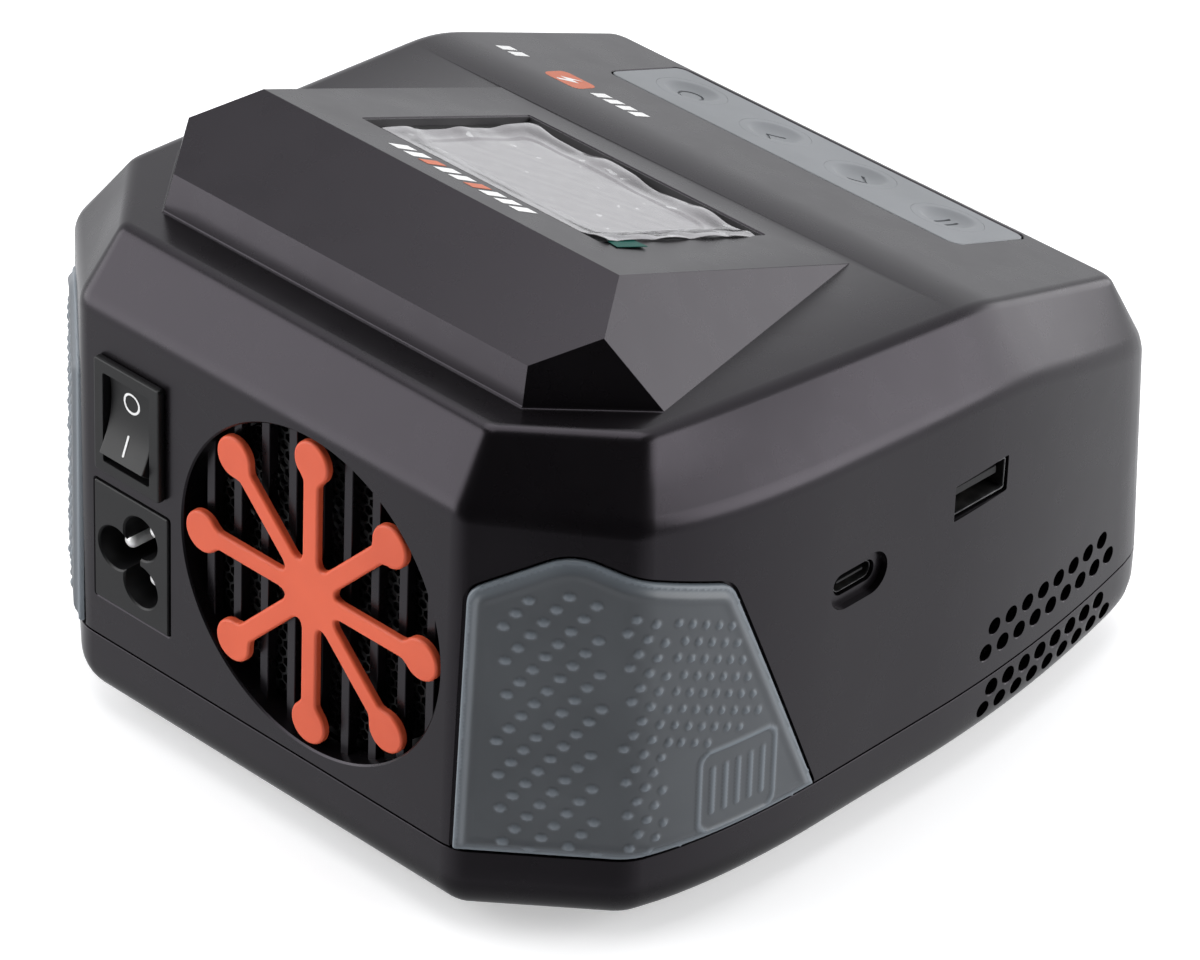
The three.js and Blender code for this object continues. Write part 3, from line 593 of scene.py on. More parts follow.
def winding_finish():
    """Copper wire wound in close turns."""
    tree = add_finish("copper_winding")
    wave = add_node(tree, "TexWave", {"Vector": add_node(tree, "TexCoord").outputs["Object"], "Scale": 300})
    wave.bands_direction = "Z"
    turns = wave.outputs["Fac"]
    shade(tree, {
        "Base Color": ramp(tree, turns, (0.1, (0.20, 0.06, 0.02)), (0.8, (0.72, 0.33, 0.15))),
        "Normal": grain(tree, turns, 0.6, 0.0001),
        "Metallic": 0.9,
        "Roughness": 0.35,
    })


def add_finishes():
    """Every slot's finish, and those of the recess's lining (painted reflection), the sockets (painted
    shade), the pins (painted highlight) and the prints.
    """
    plastic("shell_plastic", (0.0022, 0.0018, 0.0022), (0.0034, 0.0029, 0.0034), 0.28, 0.05, 1600,
            0.53, 1.38, (0.96, 0.87, 1.0))
    # The recess's lining: the shell's plastic painted much lighter, a painted reflection on the recess walls.
    plastic("rim_painted_reflection", (0.056, 0.054, 0.058), (0.064, 0.062, 0.066), 0.4)
    plastic("keypad_plastic", (0.15, 0.158, 0.168), (0.17, 0.178, 0.19), 0.42, 0.06, 1500)
    plastic("guard_plastic", (0.50, 0.072, 0.028), (0.56, 0.086, 0.034), 0.45, 0.06, 1500, 0.35)
    plastic("black_plastic", (0.004, 0.004, 0.0045), (0.007, 0.0068, 0.0075), 0.42, 0.12, 1300, 0.5, 1.38)
    plastic("foot_rubber", (0.012, 0.012, 0.012), (0.02, 0.02, 0.02), 0.7, 0.3, 900)
    plastic("clear_window", (0.004, 0.0045, 0.005), (0.006, 0.0065, 0.007), 0.12, 0.01, 800)
    plastic("tab_film", (0.0, 0.06, 0.047), (0.002, 0.08, 0.062), 0.5, 0.1, 700, 0.2)
    plastic("ferrite_core", (0.03, 0.03, 0.033), (0.06, 0.06, 0.064), 0.7, 0.5, 600)
    plastic("header_plastic", (0.50, 0.49, 0.45), (0.60, 0.59, 0.54), 0.45, 0.1, 1200)
    plastic("print_orange", (0.42, 0.11, 0.055), (0.5, 0.135, 0.07), 0.5, 0.05, 900)
    plastic("print_white", (0.62, 0.62, 0.62), (0.74, 0.74, 0.74), 0.45, 0.05, 900)
    metal("plated_steel", (0.62, 0.62, 0.63), (0.82, 0.82, 0.84), 0.36)
    # The pins' steel: the plated steel painted paler and less metallic, a painted highlight for the glint on
    # their tips.
    metal("pin_steel_painted_highlight", (0.8, 0.8, 0.8), (0.95, 0.95, 0.95), 0.36, metallic=0.35)
    # The sockets' cans: the plated steel painted dark, painted shade inside the sockets.
    metal("socket_steel_painted_shade", (0.16, 0.16, 0.165), (0.28, 0.28, 0.285), 0.38)
    metal("brass_contact", (0.62, 0.42, 0.16), (0.85, 0.62, 0.28), 0.28)
    metal("sink_aluminium", (0.42, 0.43, 0.44), (0.6, 0.61, 0.62), 0.42, (1, 8, 1))
    bumper_finish()
    film_finish()
    board_finish()
    winding_finish()


CAD_FINISHES = {
    "black_plastic": [
        "display_module", "fan_frame", "fan_rotor", "bulk_capacitor", "output_capacitor", "buzzer",
        *(f"tact_switch_{i}" for i in range(1, 5)),
    ],
    "circuit_board": ["keypad_board", "usb_board", "main_board"],
    "sink_aluminium": ["heat_sink_left", "heat_sink_right"],
    "ferrite_core": ["transformer_core"],
    "copper_winding": ["transformer_winding"],
    "plated_steel": [f"{kind}_screw_{i}" for kind in ("board", "case") for i in range(1, 5)],
}


def finish_cad_nodes():
    """Gives the CAD nodes that stay in view their finishes."""
    for finish, names in CAD_FINISHES.items():
        for name in names:
            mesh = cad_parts[name].data
            mesh.materials.clear()
            mesh.materials.append(FINISHES[finish])


# ---------------------------------------------------------------- pieces


def finish_piece(obj, slot, replaces=(), finish=None, body="case", sharp_angle=40):
    obj.data.materials.clear()
    obj.data.materials.append(FINISHES[finish or slot])
    obj.data.shade_smooth()
    obj.data.set_sharp_from_angle(angle=math.radians(sharp_angle))
    normals = obj.modifiers.new("weighted_normals", "WEIGHTED_NORMAL")
    normals.keep_sharp = True
    normals.weight = 50
    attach(obj, body)
    if replaces:
        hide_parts(*replaces)


def add_piece(name, matrix, form, slot, replaces=(), add=(), cut=(), **options):
    """A finished piece of a form in a face frame; other forms are joined to it, then some cut out of it."""
    obj = object_of(name, placed(form, matrix))
    for extra in add:
        carve(obj, placed(extra, matrix), "UNION")
    for hole in cut:
        carve(obj, placed(hole, matrix))
    finish_piece(obj, slot, replaces, **options)


# ---------------------------------------------------------------- the case's form

REAR_STEPS = 8
CORNER_STEPS = 6
CHAMFER_STEPS = 8
FRONT_STEPS = 8
FIRST_STATION_INDEX = REAR_STEPS + 2 * CORNER_STEPS + CHAMFER_STEPS


def stations():
    """Places along the case's side, as y at the top edge, from the rear to the front."""
    rear = spaced(FIRST_STATION, BLOCK_FRONT_Y, 20)
    middle = [BLOCK_FRONT_Y, *(BEND_Y + BEND_BLEND - i * BEND_BLEND / 3 for i in range(7))]
    front = spaced(middle[-1], LAST_STATION, 13)[1:]
    return [*rear, *middle, *front, LAST_STATION]


STATIONS = stations()


def bent(position, bend, value, slope_after, slope_before, blend):
    """A straight line that changes slope at a bend, over a parabola of half-length blend."""
    offset = position - bend
    if offset >= blend:
        return value + slope_after * offset
    if offset <= -blend:
        return value + slope_before * offset
    ahead = offset + blend
    curve = (slope_after - slope_before) * ahead**2 / (4 * blend)
    return value - slope_before * blend + slope_before * ahead + curve


def top_height(y):
    return bent(y, BEND_Y, BEND_Z, REAR_SLOPE, FRONT_SLOPE, BEND_BLEND)


def shoulder_height(y):
    rise = smooth_step(y, BEND_Y - SHOULDER_BLEND, BEND_Y + SHOULDER_BLEND)
    drop = scaled(rise, 0, 1, FRONT_DROP, REAR_DROP)
    return bent(y, BEND_Y, BEND_Z, REAR_SLOPE, FRONT_SLOPE, SHOULDER_BLEND) - drop


def quadratic_at(y, start, control, end):
    """The plan point at y on a quadratic curve that runs towards -Y."""
    curve = start[1] - 2 * control[1] + end[1]
    slope = 2 * (start[1] - control[1])
    rest = start[1] - y
    return on_curve(start, control, end, 2 * rest / (slope + math.sqrt(slope**2 - 4 * curve * rest)))


def wall_point(y):
    """The wall's plan point at y, ahead of corner B: a straight stretch between two curves."""
    if y > STRAIGHT_REAR_Y:
        return quadratic_at(y, WALL_B, WALL_REAR_CONTROL, (HALF_WIDTH, STRAIGHT_REAR_Y))
    if y > STRAIGHT_FRONT_Y:
        return HALF_WIDTH, y
    return quadratic_at(y, (HALF_WIDTH, STRAIGHT_FRONT_Y), WALL_SIDE_CONTROL, WALL_LAST)


def wall_side(station):
    """The wall's plan point beside a station."""
    if station > BEND_Y:
        return wall_point(scaled(station, TOP_B[1], BEND_Y, WALL_B[1], WALL_BEND_Y))
    return wall_point(scaled(station, BEND_Y, LAST_STATION, WALL_BEND_Y, WALL_LAST[1]))


def top_side(station, inwards=0.0):
    """The top edge's plan point at a station."""
    slope_rear = (TOP_B[0] - TOP_BEND_X) / (TOP_B[1] - BEND_Y)
    slope_front = (TOP_BEND_X - TOP_FRONT_X) / (BEND_Y - TOP_FRONT_Y)
    return bent(station, BEND_Y, TOP_BEND_X, slope_rear, slope_front, TOP_BLEND) - inwards, station


def half_loop(corner_a, corner_b, rounding, side, front_control, front_end):
    """Half an outline at x >= 0, from the middle of the rear to the middle of the front."""
    a_in = (corner_a[0] - rounding, corner_a[1])
    a_out = towards(corner_a, corner_b, rounding)
    b_in = towards(corner_b, corner_a, rounding)
    beside = [side(station) for station in STATIONS]
    return [
        *line((0.0, corner_a[1]), a_in, REAR_STEPS),
        *bezier(a_in, corner_a, a_out, CORNER_STEPS),
        *line(a_out, b_in, CHAMFER_STEPS),
        *bezier(b_in, corner_b, beside[0], CORNER_STEPS),
        *beside[:-1],
        *bezier(beside[-1], front_control, front_end, CORNER_STEPS),
        *line(front_end, (0.0, front_end[1]), FRONT_STEPS),
        (0.0, front_end[1]),
    ]


def whole_loop(half):
    """A clockwise loop: a half at x >= 0 and its mirror image."""
    return [*half, *((-x, *rest) for x, *rest in reversed(half[1:-1]))]


def inner_corners(distance):
    """The top's corners A and B moved inwards along both of their edges."""
    step = towards(TOP_A, TOP_B, 1)
    chamfer_normal = (step[1] - TOP_A[1], TOP_A[0] - step[0])
    corners = []
    for corner, other in ((TOP_A, (0, -1)), (TOP_B, (-1, 0))):
        scale = distance / (1 + chamfer_normal[0] * other[0] + chamfer_normal[1] * other[1])
        corners.append(tuple(c + scale * (n + o) for c, n, o in zip(corner, chamfer_normal, other)))
    return corners


def wall_loop(rounding):
    return whole_loop(half_loop(WALL_A, WALL_B, rounding, wall_side, WALL_FRONT_CONTROL, WALL_FRONT_END))


WALL_LOOP = wall_loop(WALL_ROUNDING)
SHOULDER_LOOP = [
    (x * SHOULDER_NARROWING, y * SHOULDER_SETBACK if y < 0 else y) for x, y in wall_loop(SHOULDER_ROUNDING)
]
TOP_LOOP = whole_loop(half_loop(TOP_A, TOP_B, TOP_ROUNDING, top_side, TOP_FRONT_CONTROL, TOP_FRONT_END))
INNER_LOOP = whole_loop(half_loop(
    *inner_corners(EDGE_INSET), INNER_ROUNDING, lambda station: top_side(station, EDGE_INSET),
    *((x - EDGE_INSET, y + EDGE_INSET) for x, y in (TOP_FRONT_CONTROL, TOP_FRONT_END)),
))


def approach(loop, other, distance):
    """A loop with each point moved towards the same point of another loop."""
    return [towards(a, b, distance) for a, b in zip(loop, other)]


def rows_between(loop, other, steps):
    """Loops from one towards another, without the other."""
    return [[mix(a, b, i / steps) for a, b in zip(loop, other)] for i in range(steps)]


def rows_round(before, corner, after, count, steps=6):
    """The first loops of a bend from one loop to another, round the corner loop between them."""
    return [[on_curve(*points, i / steps) for points in zip(before, corner, after)] for i in range(count)]


def upper_rows():
    """The upper shell's outside as loops from the seam up to the top plane."""
    foot = with_height(WALL_LOOP, SEAM_Z + SEAM_GAP)
    shoulder = with_height(SHOULDER_LOOP, shoulder_height)
    top = with_height(TOP_LOOP, top_height)
    inner = with_height(INNER_LOOP, top_height)
    below = approach(shoulder, foot, SHOULDER_SOFTENING)
    above = approach(shoulder, top, SHOULDER_SOFTENING)
    before = approach(top, shoulder, EDGE_SOFTENING)
    after = approach(top, inner, EDGE_SOFTENING)
    return [
        *rows_between(foot, below, 8), *rows_round(below, shoulder, above, 6),
        *rows_between(above, before, 3), *rows_round(before, top, after, 7),
    ]


def block_points():
    """The display block's corners by name and side."""
    half = {"ridge": RIDGE, "low": BLOCK_LOW, "side": BLOCK_SIDE}
    for name, (x, y) in (("foot_rear", FOOT_REAR), ("foot_side", FOOT_SIDE), ("foot_front", FOOT_FRONT)):
        half[name] = (x, y, top_height(y))
    return {(name, side): (side * x, y, z) for side in (1, -1) for name, (x, y, z) in half.items()}


BLOCK_POINTS = block_points()


def block_edges():
    """The display block's edges, with how strongly each one is bevelled."""
    across = [("ridge", CRISP), ("low", CRISP), ("foot_rear", 1.0)]
    along = [
        ("ridge", "side", CRISP), ("side", "low", CRISP), ("side", "foot_side", CRISP),
        ("low", "foot_rear", CRISP), ("ridge", "foot_front", CRISP),
        ("foot_rear", "foot_side", 1.0), ("foot_side", "foot_front", 0.2),
    ]
    edges = [((name, 1), (name, -1), weight) for name, weight in across]
    return edges + [((a, side), (b, side), weight) for side in (1, -1) for a, b, weight in along]


def upper_outside():
    """The upper shell as a closed solid, with the display block's edges weighted for bevelling."""
    rows = upper_rows()
    vertices, faces = loft(rows, last_end=False)
    count = len(rows[0])
    half = count // 2
    last = (len(rows) - 1) * count
    index = {key: len(vertices) + i for i, key in enumerate(BLOCK_POINTS)}
    vertices += BLOCK_POINTS.values()

    corner_a = REAR_STEPS + CORNER_STEPS // 2
    corner_b = REAR_STEPS + CORNER_STEPS + CHAMFER_STEPS + CORNER_STEPS // 2
    block_front = FIRST_STATION_INDEX + STATIONS.index(BLOCK_FRONT_Y)
    front_start = FIRST_STATION_INDEX + len(STATIONS) - 1

    def right(start, stop):
        return [last + i for i in range(start, stop + 1)]

    def left(start, stop):
        return [last + (count - i) % count for i in range(start, stop + 1)]

    def strip(start, stop):
        return [*right(start, stop), *reversed(left(start, stop))]

    def corners(*keys):
        return [index[key] for key in keys]

    rear = [*reversed(left(0, corner_a)), *right(1, corner_a)]
    faces.append([*rear, *corners(("foot_rear", 1), ("foot_rear", -1))])
    for side, run in ((1, right), (-1, left)):
        faces.append([*run(corner_a, corner_b), *corners(("foot_side", side), ("foot_rear", side))])
        faces.append([*run(corner_b, block_front), *corners(("foot_front", side), ("foot_side", side))])
        faces.append(corners(*((name, side) for name in ("low", "side", "foot_side", "foot_rear"))))
        faces.append(corners(*((name, side) for name in ("ridge", "foot_front", "foot_side", "side"))))
    faces.append([*strip(block_front, block_front + 1), *corners(("foot_front", -1), ("foot_front", 1))])
    faces += [strip(i, i + 1) for i in range(block_front + 1, front_start)]
    faces.append([*right(front_start, half), *reversed(left(front_start, half - 1))])
    faces.append(corners(("ridge", 1), ("ridge", -1), ("foot_front", -1), ("foot_front", 1)))
    faces.append(corners(("ridge", 1), ("side", 1), ("low", 1), ("low", -1), ("side", -1), ("ridge", -1)))
    faces.append(corners(("low", 1), ("foot_rear", 1), ("foot_rear", -1), ("low", -1)))

    bm = bmesh_of((vertices, faces))
    weight = bm.edges.layers.float.new("bevel_weight_edge")
    for first, second, amount in block_edges():
        bm.edges.get((bm.verts[index[first]], bm.verts[index[second]]))[weight] = amount
    return mesh_from_bmesh("upper_shell_outside", bm)


def upper_cavity():
    """The room inside the walls and under the two top planes."""
    foot = with_height(shifted(WALL_LOOP, WALL), SEAM_Z - 1)
    shoulder = with_height(shifted(SHOULDER_LOOP, WALL), lambda y: shoulder_height(y) - 1.4)
    top = with_height(shifted(TOP_LOOP, 1.6), lambda y: top_height(y) - WALL)
    return hull_form([*foot, *shoulder, *top])


def block_cavity():
    """The room inside the display block: the block shrunk towards a point in the case."""
    return hull_form([mix(BLOCK_MIDDLE, point, 0.9) for point in BLOCK_POINTS.values()])


def opening(outline, matrix, depth=6, flare=0.25):
    """A cutter with a small bevelled rim at the face."""
    return placed(stacked(outline, [(flare + 2, 2), (flare, 0), (0, -flare), (0, -depth)]), matrix)


def seat(fitting, gap, radius, matrix, depth=6):
    """The opening for a fitting, wider than it by a gap."""
    return opening(grown_rectangle(fitting["width"] + gap, fitting["height"] + gap, radius), matrix, depth)


def vent_cutters(rows):
    cutters = []
    for side in (-1, 1):
        for z, first_y, count in rows:
            for i in range(count):
                y = first_y - i * VENT["pitch"]
                matrix = face_frame((side * wall_point(y)[0], y, z), (0, side, 0), (0, 0, 1))
                cutters.append(opening(lambda growth: circle(VENT["radius"] + growth, 28), matrix, 6, 0.16))
    return cutters


def upper_shell():
    shell = add_object("upper_shell_skin", upper_outside())
    bevel = shell.modifiers.new("bevel", "BEVEL")
    bevel.limit_method = "WEIGHT"
    bevel.width = BLOCK_BEVEL * MM
    bevel.segments = 5
    apply_modifiers(shell)
    carve(shell, upper_cavity())
    carve(shell, block_cavity())
    slot_height, port_height = USB_C["slot_height"], USB_C["height"]
    usb_c_slot = grown_rectangle(USB_C["slot_width"], slot_height, slot_height / 2 - 0.05, 10)
    window = grown_rectangle(DISPLAY["width"], DISPLAY["length"], 0.4)
    strip = grown_rectangle(KEYPAD["width"], KEYPAD["length"], KEYPAD["radius"], 8)
    carve(shell, joined([
        opening(lambda growth: circle(FAN["radius"] + growth, 128), FAN_FRAME, 6, 0.3),
        seat(INLET, 0.5, 0.6, INLET_FRAME),
        seat(SWITCH, -2, 0.5, SWITCH_FRAME),
        seat(USB_A, 0.6, 0.4, USB_A_FRAME),
        opening(usb_c_slot, USB_C_FRAME, 1.7),
        seat(OUTPUT, 0.5, 1, OUTPUT_FRAME, 8),
        seat(BALANCE, 0.5, 0.5, BALANCE_FRAME, 8),
        opening(window, DISPLAY_FRAME, DISPLAY["depth"], 0.2),
        opening(strip, KEYPAD_FRAME, 1.4, 0.15),
        *vent_cutters(VENT_ROWS_UPPER),
        bumper_pocket(1),
        bumper_pocket(-1),
    ]))
    through = [(0, 0), (0, -12)]
    usb_c_room = block(USB_C["width"] + 0.6, port_height + 0.6, port_height / 2 + 0.2, [(0, 0), (0, -6)], 8)
    display_room = block(DISPLAY["width"] - 7.6, DISPLAY["length"] - 7.6, 1, through)
    keypad_room = block(KEYPAD["width"] - 5, KEYPAD["length"] - 5, 1, through)
    carve(shell, joined([
        placed(usb_c_room, USB_C_FRAME),
        placed(display_room, DISPLAY_FRAME),
        placed(keypad_room, KEYPAD_FRAME),
    ]))
    finish_piece(shell, "shell_plastic", ["upper_shell"])


def lower_shell():
    """The tray under the seam: a short wall over a quarter-round bottom edge."""
    wall_bottom = FOOT_HEIGHT + BOTTOM_RADIUS
    loops = [with_height(shifted(WALL_LOOP, 0.08), SEAM_Z)]
    loops += [with_height(WALL_LOOP, z) for z in (SEAM_Z - 0.08, 15.2, 13.6)]
    for i in range(13):
        angle = i / 12 * math.pi / 2
        loop = inset(WALL_LOOP, BOTTOM_RADIUS * (1 - math.cos(angle)))
        loops.append(with_height(loop, wall_bottom - BOTTOM_RADIUS * math.sin(angle)))
    shell = object_of("lower_shell_skin", loft(loops))
    inner = inset(WALL_LOOP, WALL)
    floor = with_height(inset(WALL_LOOP, BOTTOM_RADIUS - 1), FOOT_HEIGHT + WALL)
    carve(shell, hull_form([*with_height(inner, SEAM_Z + 1), *with_height(inner, wall_bottom), *floor]))
    carve(shell, joined(vent_cutters(VENT_ROWS_LOWER)))
    finish_piece(shell, "shell_plastic", ["lower_shell"])


# ---------------------------------------------------------------- bumpers
# A bumper is drawn in (s, z): s is the distance along the wall's plan from corner A towards the front.

BUMPER_BACK = -0.5
BUMPER_FACE = 1.1
BUMPER_LIP = 0.15
BUMPER_SHELF = 0.48
BUMPER_CREST = 0.16
BUMPER_RING = {"inset": 0.3, "height": 0.46}
BUMPER_CORNERS = [
    # s, z and how far the corner is cut back
    (0.1, 17.4, 0.6), (1.6, 67.7, 2.4), (18.2, 75.5, 4.5),
    (27.5, 71.6, 4.0), (46.3, 65.2, 2.4), (66.9, 17.4, 0.6),
]
BUMPER_GRID = 0.4
CHAMFER_COLUMNS = [
    # s at STUD_LEAN_Z, spacing, count, lowest and highest z of the studs, radius along s
    (5.37, 2.15, 1, 18.3, 41.0, 1.05),
    (7.52, 2.15, 7, 18.3, 69.0, 1.05),
    (22.57, 2.15, 1, 46.0, 69.0, 1.05),
]
CORNER_COLUMNS = [
    (25.74, 1.44, 1, 18.3, 41.0, 0.8),
    (27.18, 1.44, 4, 18.3, 65.2, 0.78),
    (32.94, 1.44, 1, 38.5, 61.0, 0.75),
]
STUD_FIRST_Z = 59.42
STUD_PITCH = 6.53
STUD_SHIFT = 2.56
STUD_LEAN = -0.068
STUD_LEAN_Z = 62
STUD_HEIGHT = 0.45
STUD_TOP = {"s": 7.5, "z": 63.2, "slope": 0.95}
SIDE_STUDS = {"s": 35.5, "z": 62.2, "columns": 17, "spacing": 1.29, "shift": 2.745, "radius": 0.68}
FRAME_BOX = {"s": 48.5, "z": 27.0, "width": 15.6, "height": 15.6, "radius": 2.2}
RIBS = {"count": 5, "pitch": 2.6, "half_length": 4.2}


def wall_path():
    """The wall's plan from corner A towards the front, in short steps, with each point's distance s."""
    b_in = towards(WALL_B, WALL_A, WALL_ROUNDING)
    first_side = wall_side(STATIONS[0])
    points = [*line(WALL_A, b_in, 60), *bezier(b_in, WALL_B, first_side, 24)]
    points += [wall_side(STATIONS[0] - 0.3 * i) for i in range(220)]
    distance = [0.0]
    for a, b in zip(points, points[1:]):
        distance.append(distance[-1] + math.dist(a, b))
    return points, distance


WALL_POINTS, WALL_DISTANCE = wall_path()


def wall_normal(i):
    """The outward normal at a point of the wall's path, from the points on both sides of it."""
    a, b = WALL_POINTS[max(i - 1, 0)], WALL_POINTS[min(i + 1, len(WALL_POINTS) - 1)]
    length = math.dist(a, b)
    return (a[1] - b[1]) / length, (b[0] - a[0]) / length


def on_wall(s, z, proud):
    """The point at (s, z) on the wall of the +X side, moved out by a distance."""
    s = min(max(s, -1.0), WALL_DISTANCE[-2])
    i = max(bisect.bisect_right(WALL_DISTANCE, s) - 1, 0)
    t = (s - WALL_DISTANCE[i]) / (WALL_DISTANCE[i + 1] - WALL_DISTANCE[i])
    x, y = mix(WALL_POINTS[i], WALL_POINTS[i + 1], t)
    nx, ny = mix(wall_normal(i), wall_normal(i + 1), min(max(t, 0), 1))
    lean = 1 - (1 - SHOULDER_NARROWING) * (z - SEAM_Z) / WALL_RISE
    return x * lean + nx * proud, y + ny * proud, z


def rounded_polygon(corners, steps=8):
    """A closed outline through (x, y, cut) corners, each rounded over the distance cut on both sides."""
    points = []
    for i, (x, y, cut) in enumerate(corners):
        before = corners[i - 1][:2]
        after = corners[(i + 1) % len(corners)][:2]
        start, stop = towards((x, y), before, cut), towards((x, y), after, cut)
        points += [*bezier(start, (x, y), stop, steps), stop]
    return points


def resampled(outline, spacing):
    """A closed outline with its long stretches divided."""
    points = []
    for a, b in zip(outline, [*outline[1:], outline[0]]):
        points += line(a, b, max(1, round(math.dist(a, b) / spacing)))
    return points


def distance_to(outline, points, batch=2000):
    """The distance of each point to a closed outline, worked out in batches to save memory."""
    a = np.array(outline)
    b = np.roll(a, -1, axis=0)
    along = b - a
    length = (along**2).sum(axis=1)
    nearest = np.empty(len(points))
    for start in range(0, len(points), batch):
        p = np.array(points[start:start + batch])[:, None, :]
        t = np.clip(((p - a) * along).sum(axis=2) / length, 0, 1)
        gap = p - (a + along * t[..., None])
        nearest[start:start + batch] = np.sqrt((gap**2).sum(axis=2)).min(axis=1)
    return nearest


def inside(outline, points):
    """Whether each point is inside a closed outline, by counting crossings to its right."""
    a = np.array(outline)
    b = np.roll(a, -1, axis=0)
    p = np.array(points)
    crossings = np.zeros(len(p), int)
    for (ax, ay), (bx, by) in zip(a, b):
        if ay != by:
            spans = (p[:, 1] > min(ay, by)) & (p[:, 1] <= max(ay, by))
            crossing_x = ax + (p[:, 1] - ay) / (by - ay) * (bx - ax)
            crossings += spans & (crossing_x > p[:, 0])
    return crossings % 2 == 1


def grid_inside(outline, spacing, margin):
    """Grid points inside an outline, further from it than the margin, with their distances to it."""
    xs, ys = zip(*outline)
    points = []
    for row in range(int((max(ys) - min(ys)) / spacing) + 1):
        for column in range(int((max(xs) - min(xs)) / spacing) + 1):
            points.append((min(xs) + (column + 0.5 * (row % 2)) * spacing, min(ys) + row * spacing))
    kept = [p for p, within in zip(points, inside(outline, points)) if within]
    return [(p, d) for p, d in zip(kept, distance_to(outline, kept)) if d > margin]


def triangulated(outline, rings, interior):
    """Triangles over an outline, through closed rings inside it and interior points.

    Returns the points, the triangles and, for each point, the numbers of the given points that it stands for.
    """
    points, edges = [], []
    for loop in (outline, *rings):
        base = len(points)
        points += loop
        edges += [(base + i, base + (i + 1) % len(loop)) for i in range(len(loop))]
    vectors = [Vector(p) for p in [*points, *interior]]
    made = delaunay_2d_cdt(vectors, edges, [list(range(len(outline)))], 1, 1e-5)
    return [tuple(p) for p in made[0]], [tuple(f) for f in made[2]], made[3]


def patch_solid(outline, rings, interior, front, back, coarse):
    """A closed solid between a detailed front and a plain back over one outline.

    front and back turn (x, y) into a point; coarse is the spacing of the back's points.
    """
    front_points, front_faces, front_origin = triangulated(outline, rings, interior)
    back_grid = [p for p, _ in grid_inside(outline, coarse, coarse * 0.4)]
    back_points, back_faces, back_origin = triangulated(outline, [], back_grid)
    vertices = [front(x, y) for x, y in front_points] + [back(x, y) for x, y in back_points]
    base = len(front_points)
    faces = [*front_faces, *(tuple(base + i for i in reversed(face)) for face in back_faces)]
    front_at = {origin: i for i, origins in enumerate(front_origin) for origin in origins}
    back_at = {origin: base + i for i, origins in enumerate(back_origin) for origin in origins}
    for i in range(len(outline)):
        j = (i + 1) % len(outline)
        faces.append((front_at[i], back_at[i], back_at[j], front_at[j]))
    return vertices, faces


def rim_profile(distance):
    """How proud a bumper is at a distance from its edge: a thin lip, a slope, a soft crest, a flat face."""
    lip = BUMPER_LIP + (BUMPER_SHELF - BUMPER_LIP) * smooth_step(distance, 0.0, 0.35)
    slope = (BUMPER_FACE + BUMPER_CREST - BUMPER_SHELF) * smooth_step(distance, 0.75, 2.1)
    return lip + slope - BUMPER_CREST * smooth_step(distance, 2.2, 3.4)


def lattice(columns):
    """The studs of some columns as (s, z, radius along s): each column starts higher than the last."""
    places = []
    number = 0
    for first, spacing, count, lowest, highest, radius in columns:
        for i in range(count):
            s = first + i * spacing
            for step in range(-12, 4):
                z = STUD_FIRST_Z + STUD_SHIFT * number + STUD_PITCH * step
                if lowest < z < min(highest, STUD_TOP["z"] + STUD_TOP["slope"] * (s - STUD_TOP["s"])):
                    places.append((s + STUD_LEAN * (z - STUD_LEAN_Z), z, radius))
            number += 1
    return places


def side_studs():
    """The small studs of the side, in rows that the bumper's slanting edge and the frame cut short."""
    places = []
    (edge_top_s, edge_top_z, _), (edge_low_s, edge_low_z, _) = BUMPER_CORNERS[-2:]
    for column in range(SIDE_STUDS["columns"]):
        s = SIDE_STUDS["s"] + SIDE_STUDS["spacing"] * column
        for step in range(24):
            z = SIDE_STUDS["z"] + SIDE_STUDS["shift"] * column - STUD_PITCH * step
            row_top = 62.9 - 0.405 * (s - SIDE_STUDS["s"])
            edge = scaled(z, edge_top_z, edge_low_z, edge_top_s, edge_low_s)
            above_frame = z > 36.6 and (s < 44 or z > 37.4)
            if z < row_top and s < edge - 3.2 and above_frame:
                places.append((s, z, SIDE_STUDS["radius"]))
    return places


def add_studs(heights, points):
    """Raises the heights of the points by the studs, as soft oval domes."""
    for s, z, radius in [*lattice(CHAMFER_COLUMNS), *lattice(CORNER_COLUMNS), *side_studs()]:
        away = ((points[:, 0] - s) / radius) ** 2 + ((points[:, 1] - z) / 0.8) ** 2
        heights += STUD_HEIGHT * np.clip(1 - away, 0, 1) ** 0.8


def ridge(away, half_width):
    """The height of a low rounded ridge at a distance from its middle line."""
    return 0.3 * np.clip(1.25 - (away / half_width) ** 2, 0, 1)


def add_frame(heights, points):
    """Raises a rounded frame with equal upright ribs in it."""
    width, height = FRAME_BOX["width"], FRAME_BOX["height"]
    outline = rounded_rectangle(width, height, FRAME_BOX["radius"], 6)
    across, up = points[:, 0] - FRAME_BOX["s"], points[:, 1] - FRAME_BOX["z"]
    near = (np.abs(across) < width) & (np.abs(up) < height)
    gap = np.full(len(points), 9.0)
    gap[near] = distance_to(outline, np.stack([across[near], up[near]], axis=1))
    heights += ridge(gap, 0.45)
    beyond_end = np.clip(np.abs(up) - RIBS["half_length"], 0, None)
    for i in range(RIBS["count"]):
        rib = (i - (RIBS["count"] - 1) / 2) * RIBS["pitch"]
        heights += ridge(np.sqrt((across - rib) ** 2 + beyond_end**2), 0.5)


def mirrored_form(form, side):
    """The form on the +X side, or mirrored to the -X side."""
    vertices, faces = form
    if side > 0:
        return form
    return [(-x, y, z) for x, y, z in vertices], [tuple(reversed(face)) for face in faces]


def spot(x, y):
    """A point as a key that doesn't depend on its last digits."""
    return round(x, 4), round(y, 4)


